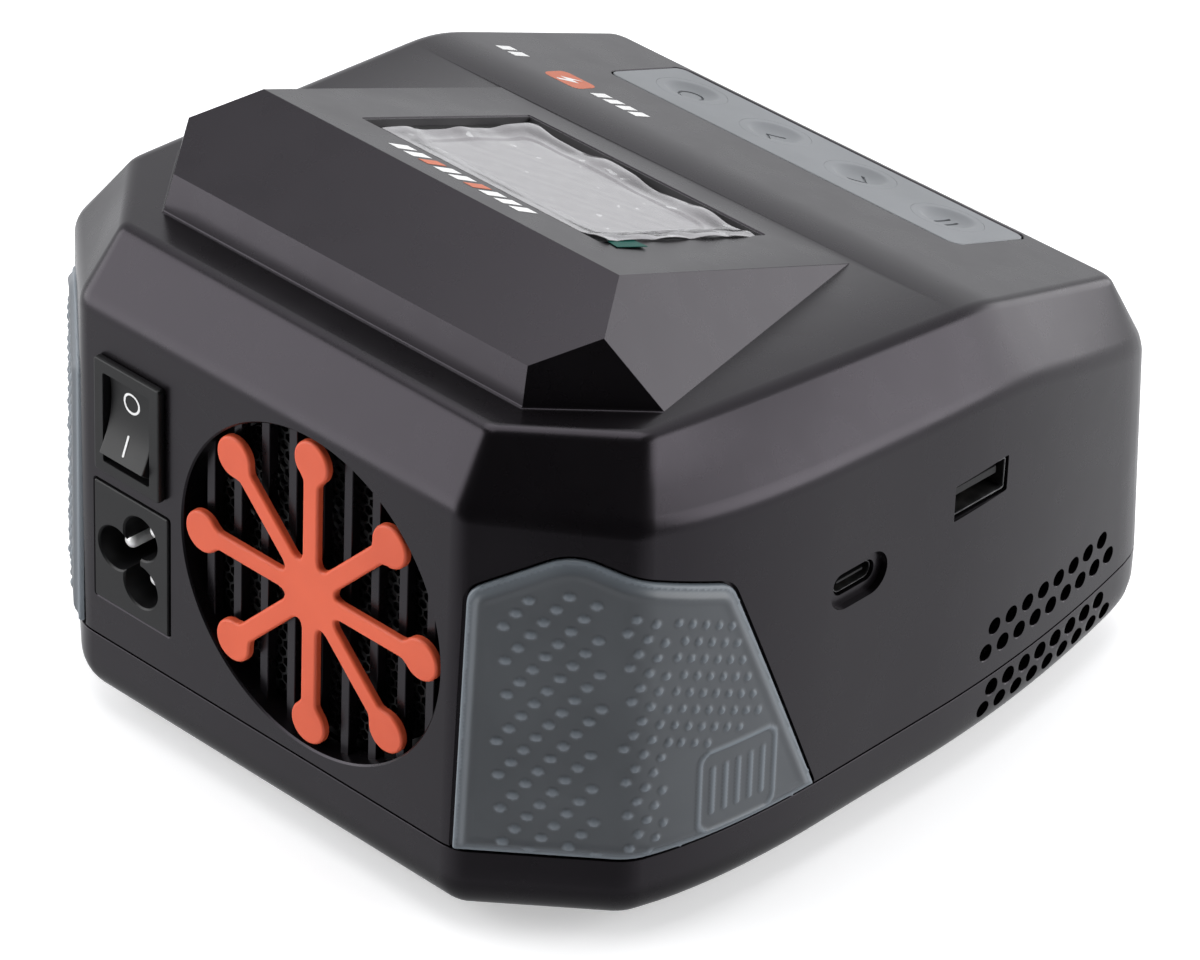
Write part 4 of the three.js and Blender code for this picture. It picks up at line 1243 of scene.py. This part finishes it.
def bumper(name, side, replaced):
    """A rubber bumper as a field of heights over the wall, with the pale value, a painted highlight, that its
    finish reads.
    """
    outline = resampled(rounded_polygon(BUMPER_CORNERS), 0.45)
    ring = shifted(outline, BUMPER_RING["inset"])
    grid = grid_inside(outline, BUMPER_GRID, 0.55)
    points = [point for point, _ in grid]
    raised = np.zeros(len(points))
    add_studs(raised, np.array(points))
    add_frame(raised, np.array(points))
    looks = {}
    for ((x, y), distance), height in zip(grid, raised):
        # The pale value is painted highlight: a band near the edge, and more where the studs and the frame
        # are raised.
        painted_rim_highlight = 0.6 * max(0.0, 1 - abs(distance - 0.8) / 1.4)
        looks[spot(x, y)] = (rim_profile(distance) + height, min(1.0, height / 0.3) + painted_rim_highlight)
    # The ring and the outline at the lip get the palest value, a painted highlight.
    looks.update({spot(x, y): (BUMPER_RING["height"], 1.3) for x, y in ring})
    looks.update({spot(x, y): (BUMPER_LIP, 1.3) for x, y in outline})
    pale = []

    def front(s, z):
        height, tone = looks.get(spot(s, z), (BUMPER_RING["height"], 1.0))
        pale.append(tone)
        return on_wall(s, z, height)

    form = patch_solid(outline, [ring], points, front, lambda s, z: on_wall(s, z, BUMPER_BACK), 2.5)
    piece = object_of(name, mirrored_form(form, side))
    rest = len(piece.data.vertices) - len(pale)
    mark_points(piece, "pale", [*pale, *([1.0] * rest)])
    finish_piece(piece, "bumper_rubber", [replaced], sharp_angle=60)


def bumper_pocket(side):
    """The cutter for a bumper's seat in the wall, a little wider than the bumper."""
    outline = resampled(shifted(rounded_polygon(BUMPER_CORNERS), -0.65), 2.0)
    interior = [p for p, _ in grid_inside(outline, 2.0, 0.8)]
    form = patch_solid(
        outline, [], interior,
        lambda s, z: on_wall(s, z, 3.0),
        lambda s, z: on_wall(s, z, BUMPER_BACK - 0.5),
        2.0,
    )
    return mirrored_form(form, side)


# ---------------------------------------------------------------- display

SCREEN = {"width": 43, "length": 31, "radius": 4}


def display_pane():
    """The dark window, with the screen's rounded step in the middle of it."""
    width, length = DISPLAY["width"] - 0.6, DISPLAY["length"] - 0.6
    pane = block(width, length, 1, [(0, -2.7), (0, -1.65), (-0.15, -1.5)], 6)
    screen_levels = [(0, -1.6), (0, -1.42), (-0.15, -1.32)]
    screen = block(SCREEN["width"], SCREEN["length"], SCREEN["radius"], screen_levels, 10)
    add_piece("display_pane", DISPLAY_FRAME, pane, "clear_window", ["display_window"], add=[screen])


def display_rim():
    """A thin grey lining over the recess's walls, round the window: the shell's plastic painted lighter, a
    painted reflection.
    """
    outline = grown_rectangle(DISPLAY["width"] - 0.1, DISPLAY["length"] - 0.1, 0.35)
    rim = stacked(outline, [(0, -1.6), (0, -0.2)])
    room = stacked(outline, [(-0.25, -2), (-0.25, 1)])
    add_piece("display_rim", DISPLAY_FRAME, rim, "shell_plastic", cut=[room], finish="rim_painted_reflection")


def outside_screen(x, y):
    """The distance outside the lit part's rounded edge, in the display's frame; less than 0 on it."""
    return math.hypot(max(abs(x + 1.5) - 17.5, 0.0), max(abs(y - 0.8) - 11.0, 0.0)) - 3.0


def film_haze(x, y):
    """How milky the film looks: most on the screen and at its own edges, least where it hangs free."""
    hanging = smooth_step(outside_screen(x, y), 0.4, 3.0)
    edge = min(x - FILM["x0"], FILM["x1"] - x, y - FILM["y0"], FILM["y1"] - y)
    clouds = 0.5 + 0.5 * math.sin(0.33 * x + 0.9 * math.sin(0.21 * y) + 2.6)
    return 1 - hanging * smooth_step(edge, 0.2, 2.4) * (0.35 + 0.65 * clouds)


def film_height(x, y):
    """The film's height in the display's frame: flat on the screen, waved near its edges, bunched at -X."""
    outside = outside_screen(x, y)
    off_screen = 0.22 * smooth_step(outside, -0.25, 0.25) + 0.4 * smooth_step(outside, 0.6, 5.0)
    front_wave = 0.4 * math.sin(x * 0.31 + 0.4) + 0.08 * math.sin(x * 0.8 + 2)
    end_wave = 0.28 * math.sin(y * 0.42 + 1.0) + 0.06 * math.sin(y * 1.0)
    waves = front_wave * smooth_step(-y, 10.5, 18.5) + end_wave * smooth_step(x, 15.5, 23.0)
    bunched = smooth_step(-x, 21.5, 26.6)
    creases = 0.35 * abs(math.sin(y * 0.33 + x * 0.55)) + 0.2 * abs(math.sin(y * 0.21 - x * 0.8))
    folds = bunched * (0.5 + creases)
    bubbles = 0.012 * math.sin(x * 1.3 + 1.3 * math.sin(y * 0.7)) * math.sin(y * 1.1 + x * 0.4)
    return -1.05 + off_screen + waves + folds + bubbles


def sheet(columns, rows, point):
    """A thin closed sheet: point(u, v) is the middle of its thickness at u and v from 0 to 1."""
    middle = [point(i / columns, row / rows) for row in range(rows + 1) for i in range(columns + 1)]
    half = FILM["thickness"] / 2
    vertices = [(x, y, z + half) for x, y, z in middle] + [(x, y, z - half) for x, y, z in middle]
    count, stride = len(middle), columns + 1
    faces = []
    for row in range(rows):
        for column in range(columns):
            a = row * stride + column
            faces.append((a, a + 1, a + 1 + stride, a + stride))
            faces.append((count + a, count + a + stride, count + a + 1 + stride, count + a + 1))
    rim = [*range(columns), *(columns + stride * r for r in range(rows)),
           *(rows * stride + c for c in range(columns, 0, -1)), *(stride * r for r in range(rows, 0, -1))]
    for a, b in zip(rim, [*rim[1:], rim[0]]):
        faces.append((a, count + a, count + b, b))
    return vertices, faces


def film_point(u, v):
    """The film's point at u and v, with two slightly wavy edges."""
    end_wave = 0.35 * math.sin(v * 8.5) * smooth_step(u, 0.8, 1.0)
    front_wave = 0.4 * math.sin(u * 15.0 + 1.0) * smooth_step(-v, -0.2, 0.0)
    x = FILM["x0"] + (FILM["x1"] - FILM["x0"]) * u + end_wave
    y = FILM["y0"] + (FILM["y1"] - FILM["y0"]) * v + front_wave
    return x, y, film_height(x, y)


def film_sheet():
    """The loose protective film over the screen, with the haze value that its finish reads."""
    form = sheet(120, 92, film_point)
    film = object_of("film_sheet", placed(form, DISPLAY_FRAME))
    mark_points(film, "haze", [film_haze(x, y) for x, y, _ in form[0]])
    finish_piece(film, "protective_film", ["screen_film"], sharp_angle=60)


def tab_point(u, v):
    """The pull tab's point at u and v: it runs out from under the film's corner and curls up a little."""
    x = -31.0 + 5.5 * u + 0.9 * v
    y = 13.8 + 6.6 * v - 0.8 * u
    if x > FILM["x0"] + 0.2:
        return x, y, film_height(x, y) - 0.14
    return x, y, 0.14 + 0.25 * (1 - v) * smooth_step(-x, 27.8, 31.0)


def pull_tab():
    """The green tab that sticks out from under the film's corner, a little curled."""
    columns, rows = 20, 14
    half = FILM["thickness"] / 2
    loops = []
    for row in range(rows + 1):
        middle = [tab_point(column / columns, row / rows) for column in range(columns + 1)]
        top = [(x, y, z + half) for x, y, z in middle]
        bottom = [(x, y, z - half) for x, y, z in middle]
        loops.append([*top, *reversed(bottom)])
    add_piece("pull_tab", DISPLAY_FRAME, loft(loops), "tab_film", ["film_tab"])


# ---------------------------------------------------------------- keypad

DISH = [
    # radius and height of a button's top, from its middle to its rim
    (1.0, -1.0), (2.2, -0.95), (3.2, -0.78), (4.0, -0.5), (4.6, -0.2),
    (4.95, -0.05), (5.3, 0.0), (6.56, 0.0), (6.6, -0.04),
]
BUTTON_FOOT = [(7.6, -4.6), (7.6, -3.4), (6.6, -3.4)]


def button_centres():
    """Each button's centre in the keypad's frame; the first one is at the +X end."""
    names = BUTTON["names"]
    first_x = BUTTON["pitch"] * (len(names) - 1) / 2
    return {name: (first_x - i * BUTTON["pitch"], BUTTON["shift_y"]) for i, name in enumerate(names)}


def keypad_plate():
    """The light strip, flush with the case, with round holes that the buttons fill."""
    width, length, radius = KEYPAD["width"], KEYPAD["length"], KEYPAD["radius"]
    strip_levels = [(0, -1.3), (0, -0.22), (-0.07, -0.07), (-0.22, 0)]
    strip = block(width - 0.5, length - 0.9, radius - 0.3, strip_levels, 8)
    plug = block(width - 5.6, length - 5.6, 1, [(0, -3.1), (0, -1.2)])
    hole = drum(BUTTON["radius"] + 0.02, [(0, 1), (0, -9)], 72)
    holes = joined([moved(hole, x, y) for x, y in button_centres().values()])
    add_piece("keypad_plate", KEYPAD_FRAME, strip, "keypad_plastic", ["keypad_strip"], [plug], [holes])


def glyph(name):
    """A button's engraved sign: a ring, a chevron, or two bars."""
    if name == "enter":
        return ring_form(1.95, 2.45, -1.25, 0.5)
    if name == "pause":
        return joined([stroke((x, -2.0), (x, 2.0), 0.6, -1.3, 0.5) for x in (-0.9, 0.9)])
    direction = 1 if name == "next" else -1
    chevron = [(-1.3, 2.1), (-0.6, 2.3), (1.9, 0), (-0.6, -2.3), (-1.3, -2.1), (1.2, 0)]
    return prism([(x * direction, y) for x, y in chevron], -1.25, 0.5)


def button(name, centre):
    """A round cap with a dished top and a wider foot under the strip."""
    matrix = KEYPAD_FRAME @ Matrix.Translation((*centre, 0))
    cap = turned([*BUTTON_FOOT, *reversed(DISH)], 72)
    add_piece(f"button_cap_{name}", matrix, cap, "keypad_plastic", [f"button_{name}"], cut=[glyph(name)],
              body=f"button_{name}", sharp_angle=35)


# ---------------------------------------------------------------- fan


def rotated(x, y, turn):
    return x * math.cos(turn) - y * math.sin(turn), x * math.sin(turn) + y * math.cos(turn)


def guard_outline():
    """The guard's eight straight arms with round pads, joined at a hub."""
    half, pad, reach = GUARD["half_width"], GUARD["pad_radius"], GUARD["pad_distance"]
    neck = reach - math.sqrt(pad**2 - half**2)
    neck_angle = math.asin(half / pad)
    root = GUARD["root"]
    arm_turn = 2 * math.pi / GUARD["arms"]
    arm = [(root, -half), *bezier((neck - 0.9, -half), (neck, -half), (neck - 0.1, -half - 0.8), 3)[:2]]
    for i in range(29):
        angle = math.pi + neck_angle + 0.22 + (2 * math.pi - 2 * neck_angle - 0.44) * i / 28
        arm.append(polar(pad, angle, reach))
    arm += [(neck - 0.45, half + 0.05), (neck - 0.9, half), (root, half)]
    next_root = rotated(root, -half, arm_turn)
    arm += bezier((root, half), rotated(GUARD["hub"], 0, arm_turn / 2), next_root, 5)[1:]
    return [rotated(x, y, i * arm_turn) for i in range(GUARD["arms"]) for x, y in arm]


def fan_guard():
    """The guard, rounded over its front edges, with a peg behind each pad."""
    outline = guard_outline()
    radius = 0.55
    levels = [(0, -GUARD["thickness"])]
    for i in range(6):
        angle = i / 5 * math.pi / 2
        levels.append((radius * (1 - math.cos(angle)), -radius * (1 - math.sin(angle))))
    arms = stacked(lambda growth: shifted(outline, -growth), levels)
    peg = turned([(1.6, -2.35), (1.6, -1.0)], 24)
    places = circle(GUARD["pad_distance"], GUARD["arms"])
    pegs = joined([moved(peg, x, y) for x, y in places])
    add_piece("guard_arms", FAN_FRAME, arms, "guard_plastic", ["fan_guard"], [pegs], sharp_angle=50)


def fan_slats():
    """The upright slats across the fan's opening and the ring that they end on."""
    front = SLAT["front"]
    levels = [(0.1, front - SLAT["depth"]), (0, front - 0.12), (-0.12, front)]
    reach = int(FAN["radius"] // SLAT["pitch"])
    forms = []
    for i in range(-reach, reach + 1):
        x = i * SLAT["pitch"]
        height = 2 * math.sqrt((FAN["radius"] + 1) ** 2 - x**2)
        forms.append(moved(block(SLAT["width"] + 0.3, height, 0.1, levels, 2), x))
    forms.append(turned([(30.05, front), (32, front), (32, -4.8), (30.05, -4.8)], 128, closed=True))
    add_piece("fan_slats", FAN_FRAME, joined(forms), "shell_plastic", sharp_angle=30)


def dust_mesh():
    """A fine honeycomb behind the slats: each cell is a six-sided hole with its own walls."""
    cell, reach, front, back = MESH["cell"], MESH["reach"], MESH["front"], MESH["back"]
    hole = cell - MESH["bar"]
    hexagon = [math.radians(30 + 60 * k) for k in range(6)]
    one_cell = loft([
        [(*polar(width / math.sqrt(3), angle), z) for angle in hexagon]
        for width, z in ((cell, front), (hole, front), (hole, back), (cell, back))
    ], False, False)
    row_pitch = cell * math.sqrt(3) / 2
    rows = int(reach / row_pitch)
    forms = []
    for row in range(-rows, rows + 1):
        for column in range(-16, 17):
            x, y = (column + 0.5 * (row % 2)) * cell, row * row_pitch
            if math.hypot(x, y) <= reach - cell / 2:
                forms.append(moved(one_cell, x, y))
    bm = bmesh_of(placed(joined(forms), FAN_FRAME))
    bmesh.ops.remove_doubles(bm, verts=bm.verts, dist=0.00001)
    bmesh.ops.bridge_loops(bm, edges=[e for e in bm.edges if e.is_boundary])
    mesh = add_object("dust_mesh", mesh_from_bmesh("dust_mesh", bm))
    finish_piece(mesh, "black_plastic", ["dust_screen"])


# ---------------------------------------------------------------- mains inlet and switch


def inlet_socket():
    """The inlet's moulding: three overlapping round lobes and the room between them."""
    width, height = INLET["width"], INLET["height"]
    plate = block(width, height, 0.4, [(0, -2), (0, 0.12), (-0.18, 0.3)])
    body = block(width - 1, height - 1, 0.8, [(0, -24), (0, -1.5)])
    lobe = drum(4, [(0.3, 2), (0.3, 0.3), (0, 0), (0, -15)], 64)
    lobes = [moved(lobe, x, y) for x, y in LOBES.values()]
    web = prism(list(LOBES.values()), 2, -15)
    add_piece("inlet_socket", INLET_FRAME, plate, "black_plastic", ["inlet_body"], [body], [*lobes, web])


def inlet_pin(name):
    """A round pin with a rounded tip."""
    angles = spaced(0, math.pi / 2, 8)
    pin = turned([(1.4, -28), *((1.4 * math.cos(a), -3.7 + 1.2 * math.sin(a)) for a in angles)])
    matrix = INLET_FRAME @ Matrix.Translation((*LOBES[name], 0))
    # Its finish is the plated steel with a painted highlight.
    add_piece(f"pin_{name}", matrix, pin, "plated_steel", [f"inlet_pin_{name}"], finish="pin_steel_painted_highlight")


def switch_bezel():
    """The switch's housing, with a room for the key and the bearings of its axle."""
    rim_levels = [(-0.2, 0.02), (0, 0.3), (0, 1.0), (-0.15, 1.35), (-0.45, 1.5)]
    rim = block(SWITCH["width"], SWITCH["height"], 0.7, rim_levels, 6)
    body = block(13.4, 19.4, 0.8, [(0, -17.5), (0, 0.2)])
    room_levels = [(0.15, 3), (0.15, 1.5), (0, 1.3), (0, -13)]
    room = block(KEY["width"] + 0.4, 2 * (KEY["radius"] + 0.15), 0.4, room_levels)
    bearings = moved(turned_about(drum(1.3, [(0, -7), (0, 7)], 24), math.pi / 2, "Y"), 0, 0, KEY["pivot"])
    add_piece("switch_bezel", SWITCH_FRAME, rim, "black_plastic", ["rocker_housing"],
              add=[body], cut=[room, bearings])


def key_front(y):
    """The height of the key's hollow front over its pivot."""
    return KEY["front"] - KEY["pivot"] + 0.0258 * y * y


def key_side():
    """The key's side view in its own frame as (y, z): a disc round the pivot with a hollow front."""
    half = KEY["half_front"]
    end_angle = math.atan2(key_front(half), half)
    back = math.radians(-35)
    arc = [end_angle + (back - end_angle) * i / 12 for i in range(1, 13)]
    right = [polar(KEY["radius"], angle) for angle in arc]
    front = [(y, key_front(y)) for y in (-half + 2 * half * i / 12 for i in range(13))]
    return [*front, *right, *((-y, z) for y, z in reversed(right))]


def rocker_key():
    """The tilting key, with softened side edges and its axle."""
    half = KEY["width"] / 2
    outline = key_side()
    left = [(-half, 0.35), (-half + 0.1, 0.12), (-half + 0.35, 0.0)]
    right = [(-x, inwards) for x, inwards in reversed(left)]
    key = loft([[(x, y, z) for y, z in shifted(outline, inwards)] for x, inwards in [*left, *right]])
    axle = turned_about(turned([(1, -6.2), (1, 6.2)], 24), math.pi / 2, "Y")
    add_piece("rocker_cap", KEY_FRAME, key, "black_plastic", ["rocker_key"],
              add=[axle], body="rocker", sharp_angle=30)


def key_marks():
    """The white O and I, printed on the two halves of the key's hollow front."""
    ring = moved(ring_form(1.54, 1.96, 0.0, 0.05), 0, 3.9)
    bar = stroke((0, -5.6), (0, -2.2), 0.42, 0.0, 0.05)
    vertices, faces = joined([ring, bar])
    on_front = [(x, y, key_front(y) + z) for x, y, z in vertices]
    add_piece("switch_marks", KEY_FRAME, (on_front, faces), "keypad_plastic",
              finish="print_white", body="rocker")


# ---------------------------------------------------------------- sockets


def can(outer, inner, mouth, depth):
    """A metal socket's can, open at its mouth, with a rolled lip."""
    skin = [
        (outer(0), mouth - depth), (outer(0), mouth - 0.15), (outer(-0.12), mouth),
        (inner(0.12), mouth), (inner(0), mouth - 0.2), (inner(0), mouth - depth + 0.4),
    ]
    return loft([[(x, y, z) for x, y in outline] for outline, z in skin])


def contact_strips(count, pitch, width, y, near, far):
    """Flat contacts side by side on a tongue."""
    strip = block(width, 0.12, 0.03, [(0, far), (0, near)], 2)
    return joined([moved(strip, (i - (count - 1) / 2) * pitch, y) for i in range(count)])


def usb_socket(name, matrix, shell, base, blade, strips):
    """A socket in three pieces: its can, the tongue on its base, and the contacts."""
    # The can's finish is the plated steel painted dark: painted shade.
    add_piece(f"{name}_can", matrix, shell, "plated_steel", [f"{name}_shell"], finish="socket_steel_painted_shade")
    add_piece(f"{name}_blade", matrix, base, "black_plastic", [f"{name}_tongue"], [blade])
    add_piece(f"{name}_contacts", matrix, strips, "brass_contact")


def usb_a():
    width, height = USB_A["width"], USB_A["height"]
    outer = grown_rectangle(width, height, 0.6)
    inner = grown_rectangle(width - 0.8, height - 0.8, 0.3)
    base = block(11.2, 4.9, 0.2, [(0, -17), (0, -14.8)])
    blade = moved(block(10.8, 1.9, 0.2, [(0, -15), (0, -2.6), (-0.3, -2.2)]), 0, 0.9)
    strips = contact_strips(4, 2.4, 1.2, -0.08, -2.9, -14)
    usb_socket("usb_a", USB_A_FRAME, can(outer, inner, -1.5, 16), base, blade, strips)


def usb_c():
    width, height = USB_C["width"], USB_C["height"]
    outer = grown_rectangle(width, height, height / 2 - 0.02, 10)
    inner = grown_rectangle(width - 0.6, height - 0.6, height / 2 - 0.32, 10)
    base = block(7.6, 2.4, 0.8, [(0, -10.5), (0, -9)])
    blade = block(6.6, 0.7, 0.2, [(0, -9.2), (0, -2.9), (-0.15, -2.6)])
    strips = contact_strips(6, 1.0, 0.4, -0.37, -3.1, -8)
    usb_socket("usb_c", USB_C_FRAME, can(outer, inner, -2.2, 8.6), base, blade, strips)


def output_jack():
    """The battery output: a moulded body with two round contacts, one corner pair cut for polarity."""
    body = block(OUTPUT["width"], OUTPUT["height"], 0.9, [(0, -17), (0, -0.1), (-0.25, 0.15)], 5)
    mouth = [(-10, -3.6), (-10, 3.6), (-8.6, 5), (7.2, 5), (10, 2.2), (10, -2.2), (7.2, -5), (-8.6, -5)]
    room = stacked(lambda growth: shifted(mouth, -growth), [(0.35, 1), (0.25, 0.15), (0, -0.15), (0, -15)])
    add_piece("output_jack", OUTPUT_FRAME, body, "black_plastic", ["output_socket"], cut=[room])
    profile = [(2.2, -16), (2.2, -3.4), (2.05, -3.1), (1.7, -3.0), (1.3, -3.0), (1.2, -3.2), (1.2, -12)]
    for name, x in (("positive", 5.2), ("negative", -5.2)):
        matrix = OUTPUT_FRAME @ Matrix.Translation((x, 0, 0))
        contact = turned(profile, 40)
        add_piece(f"output_pin_{name}", matrix, contact, "brass_contact", [f"output_contact_{name}"])


def balance_port():
    """The balance header with its row of square pins and two key slots."""
    width, height = BALANCE["width"], BALANCE["height"]
    body = block(width, height, 0.4, [(0, -10), (0, -0.05), (-0.15, 0.1)])
    room = block(width - 1.8, height - 1.8, 0.2, [(0.2, 1), (0.15, 0.1), (0, -0.1), (0, -8.6)], 3)
    key_slot = block(1.2, 2, 0.1, [(0, -4), (0, 2)], 2)
    key_slots = joined([moved(key_slot, x, height / 2) for x in (-7.5, 7.5)])
    add_piece("balance_port", BALANCE_FRAME, body, "header_plastic", ["balance_header"],
              cut=[room, key_slots])
    pin = block(0.64, 0.64, 0.06, [(0, -9.8), (0, -1.9), (-0.2, -1.5)], 2)
    pins = joined([moved(pin, (i - 3) * 2.5) for i in range(7)])
    add_piece("balance_pin_row", BALANCE_FRAME, pins, "brass_contact", ["balance_pins"])


# ---------------------------------------------------------------- feet and printed marks


def feet():
    """Four round feet under the CAD's own, each with a shallow hollow below."""
    for i in range(1, 5):
        low, high = (Vector(corner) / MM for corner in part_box(f"foot_{i}"))
        centre = (low + high) / 2
        tread = [(3.6, 0.35), (4.6, 0.12), (5.2, 0.0), (5.6, 0.12), (5.9, 0.45), (6.0, 0.9)]
        matrix = Matrix.Translation((centre.x, centre.y, 0))
        foot = turned([*tread, (6.0, high.z)], 64)
        add_piece(f"rubber_foot_{i}", matrix, foot, "foot_rubber", [f"foot_{i}"])


def slanted_bar(x, y, width, height, slant):
    """A printed parallelogram, a twentieth of a millimetre thick."""
    top = y + height
    return prism([(x, y), (x + width, y), (x + width + slant, top), (x + slant, top)], -0.02, 0.04)


def add_print(name, matrix, form, tone):
    """A printed mark in white or orange."""
    slot = "keypad_plastic" if tone == "white" else "guard_plastic"
    add_piece(name, matrix, form, slot, finish=f"print_{tone}")


def ridge_marks():
    """A plain row of slanted dashes along the display's rear edge."""
    dashes = {i: slanted_bar(-15.2 + 3.45 * i, 23.6, 2.3, 3.3, 1.3) for i in range(9)}
    orange = [dashes.pop(i) for i in (3, 6)]
    add_print("ridge_dashes_white", DISPLAY_FRAME, joined(dashes.values()), "white")
    add_print("ridge_dashes_orange", DISPLAY_FRAME, joined(orange), "orange")


def front_marks():
    """A generic charge sign on the front plane: a rounded badge with a bolt on it, between level dashes."""
    matrix = KEYPAD_FRAME @ Matrix.Translation((0, 23.6, 0))
    dashes = [slanted_bar(x, -1.5, 2.0, 3.0, 0.8) for x in (20, 23, 26, 29, 49.2, 52.2)]
    badge = stacked(
        lambda growth: [(x + 38, y) for x, y in rounded_rectangle(8.4 + growth, 6.0 + growth, 1.6, 6)],
        [(0, -0.02), (0, 0.03)],
    )
    bolt = [(38.6, 2.2), (36.2, -0.4), (37.9, -0.4), (36.9, -2.2), (39.9, 0.5), (38.1, 0.5), (39.5, 2.2)]
    add_print("level_dashes", matrix, joined(dashes), "white")
    add_print("charge_badge", matrix, badge, "orange")
    add_print("charge_bolt", matrix, prism(bolt, 0.0, 0.06), "white")


# ---------------------------------------------------------------- camera, floor and light

CAMERA_PLACE = (-594.35, 645.92, 601.22)
CAMERA_TARGET = (-23.67, 21.47, 54.36)
CAMERA_ROLL = 0.0433
CAMERA_LENS = 181.97
FLOOR_REACH = 9000
OPEN_SIDE = (-0.567, 0.62, 0.543)


def aimed(place, target, roll=0.0):
    """The matrix of a camera or lamp at a place, looking at a target."""
    start = Vector(place) * MM
    facing = (Vector(target) * MM - start).to_track_quat("-Z", "Y").to_matrix()
    return Matrix.Translation(start) @ (facing @ Matrix.Rotation(roll, 3, "Z")).to_4x4()


def add_camera():
    camera = add_object("camera", bpy.data.cameras.new("camera"))
    camera.data.sensor_width = 36
    camera.data.lens = CAMERA_LENS
    camera.data.clip_end = 50
    camera.matrix_world = aimed(CAMERA_PLACE, CAMERA_TARGET, CAMERA_ROLL)
    bpy.context.scene.camera = camera


def add_floor():
    corners = [(x * FLOOR_REACH, y * FLOOR_REACH, 0) for x, y in ((-1, -1), (1, -1), (1, 1), (-1, 1))]
    floor = object_of("floor", (corners, [(0, 1, 2, 3)]))
    tree = add_finish("floor")
    shade(tree, {
        "Base Color": ramp(tree, noise(tree, 12), (0.3, (0.84, 0.84, 0.85)), (0.7, (0.87, 0.87, 0.88))),
        "Roughness": 0.8,
        "Specular IOR Level": 0.1,
        "Emission Color": (1, 1, 1, 1),
        "Emission Strength": 0.42,
    })
    floor.data.materials.append(FINISHES["floor"])
    floor.visible_glossy = False


def add_backdrop():
    """A pale dome far round the scene, seen only by the camera."""
    bm = bmesh.new()
    bmesh.ops.create_uvsphere(bm, u_segments=64, v_segments=32, radius=12)
    backdrop = add_object("backdrop", mesh_from_bmesh("backdrop", bm))
    tree = add_finish("backdrop")
    pale = ramp(tree, noise(tree, 0.2, 1), (0.3, (0.93, 0.93, 0.94)), (0.7, (0.97, 0.97, 0.98)))
    shade(tree, {"Emission Color": pale, "Base Color": pale, "Emission Strength": 1})
    backdrop.data.materials.append(FINISHES["backdrop"])
    backdrop.visible_diffuse = False
    backdrop.visible_glossy = False
    backdrop.visible_transmission = False
    backdrop.visible_shadow = False


def add_panel(name, place, target, width, height, radiance):
    """A rectangular soft box, with its radiance given so that its look doesn't depend on its size."""
    light = bpy.data.lights.new(name, "AREA")
    light.shape = "RECTANGLE"
    light.size = width * MM
    light.size_y = height * MM
    light.energy = radiance * math.pi * width * height * MM * MM
    add_object(name, light).matrix_world = aimed(place, target)


def fade(tree, direction, start, stop, before, after):
    """A factor that changes smoothly as the view turns towards a direction."""
    view = add_node(tree, "TexCoord").outputs["Generated"]
    dot = add_node(tree, "VectorMath", {0: view, 1: direction})
    dot.operation = "DOT_PRODUCT"
    change = add_node(tree, "MapRange", {
        "Value": dot.outputs["Value"],
        "From Min": start,
        "From Max": stop,
        "To Min": before,
        "To Max": after,
    })
    change.interpolation_type = "SMOOTHSTEP"
    return change.outputs["Result"]


def add_world():
    """A pale room, dark in one fixed direction, where the studio is open and unlit, and dimmer below."""
    world = bpy.data.worlds.new("world")
    bpy.context.scene.world = world
    world.use_nodes = True
    tree = world.node_tree
    open_side = fade(tree, OPEN_SIDE, 0.1, 0.55, 1.05, 0.05)
    below = fade(tree, (0, 0, -1), 0.48, 0.88, 1, 0.3)
    strength = add_node(tree, "Math", {0: open_side, 1: below})
    strength.operation = "MULTIPLY"
    put(tree, tree.nodes["Background"], {
        "Color": (0.97, 0.98, 1.0, 1),
        "Strength": strength.outputs["Value"],
    })


def set_look():
    settings = bpy.context.scene.view_settings
    settings.view_transform = "Standard"
    settings.look = "None"


# ---------------------------------------------------------------- the build

add_camera()
add_floor()
add_backdrop()
add_world()
set_look()
add_panel("rear_box", (290, 370, 232), (0, 60, 232), 480, 450, 3.25)
add_panel("front_box", (-200, -620, 175), (0, 0, 85), 460, 260, 2.85)
add_panel("side_box", (-526, -291, 245), (-60, 0, 245), 460, 400, 4.1)
add_panel("top_box", (100, 0, 900), (0, 0, 0), 800, 800, 2.6)

add_finishes()
finish_cad_nodes()
upper_shell()
lower_shell()
bumper("bumper_skin_right", 1, "bumper_right")
bumper("bumper_skin_left", -1, "bumper_left")
display_pane()
display_rim()
film_sheet()
pull_tab()
keypad_plate()
for button_name, button_centre in button_centres().items():
    button(button_name, button_centre)
fan_guard()
fan_slats()
dust_mesh()
inlet_socket()
for pin_name in LOBES:
    inlet_pin(pin_name)
switch_bezel()
rocker_key()
key_marks()
usb_a()
usb_c()
output_jack()
balance_port()
feet()
ridge_marks()
front_marks()
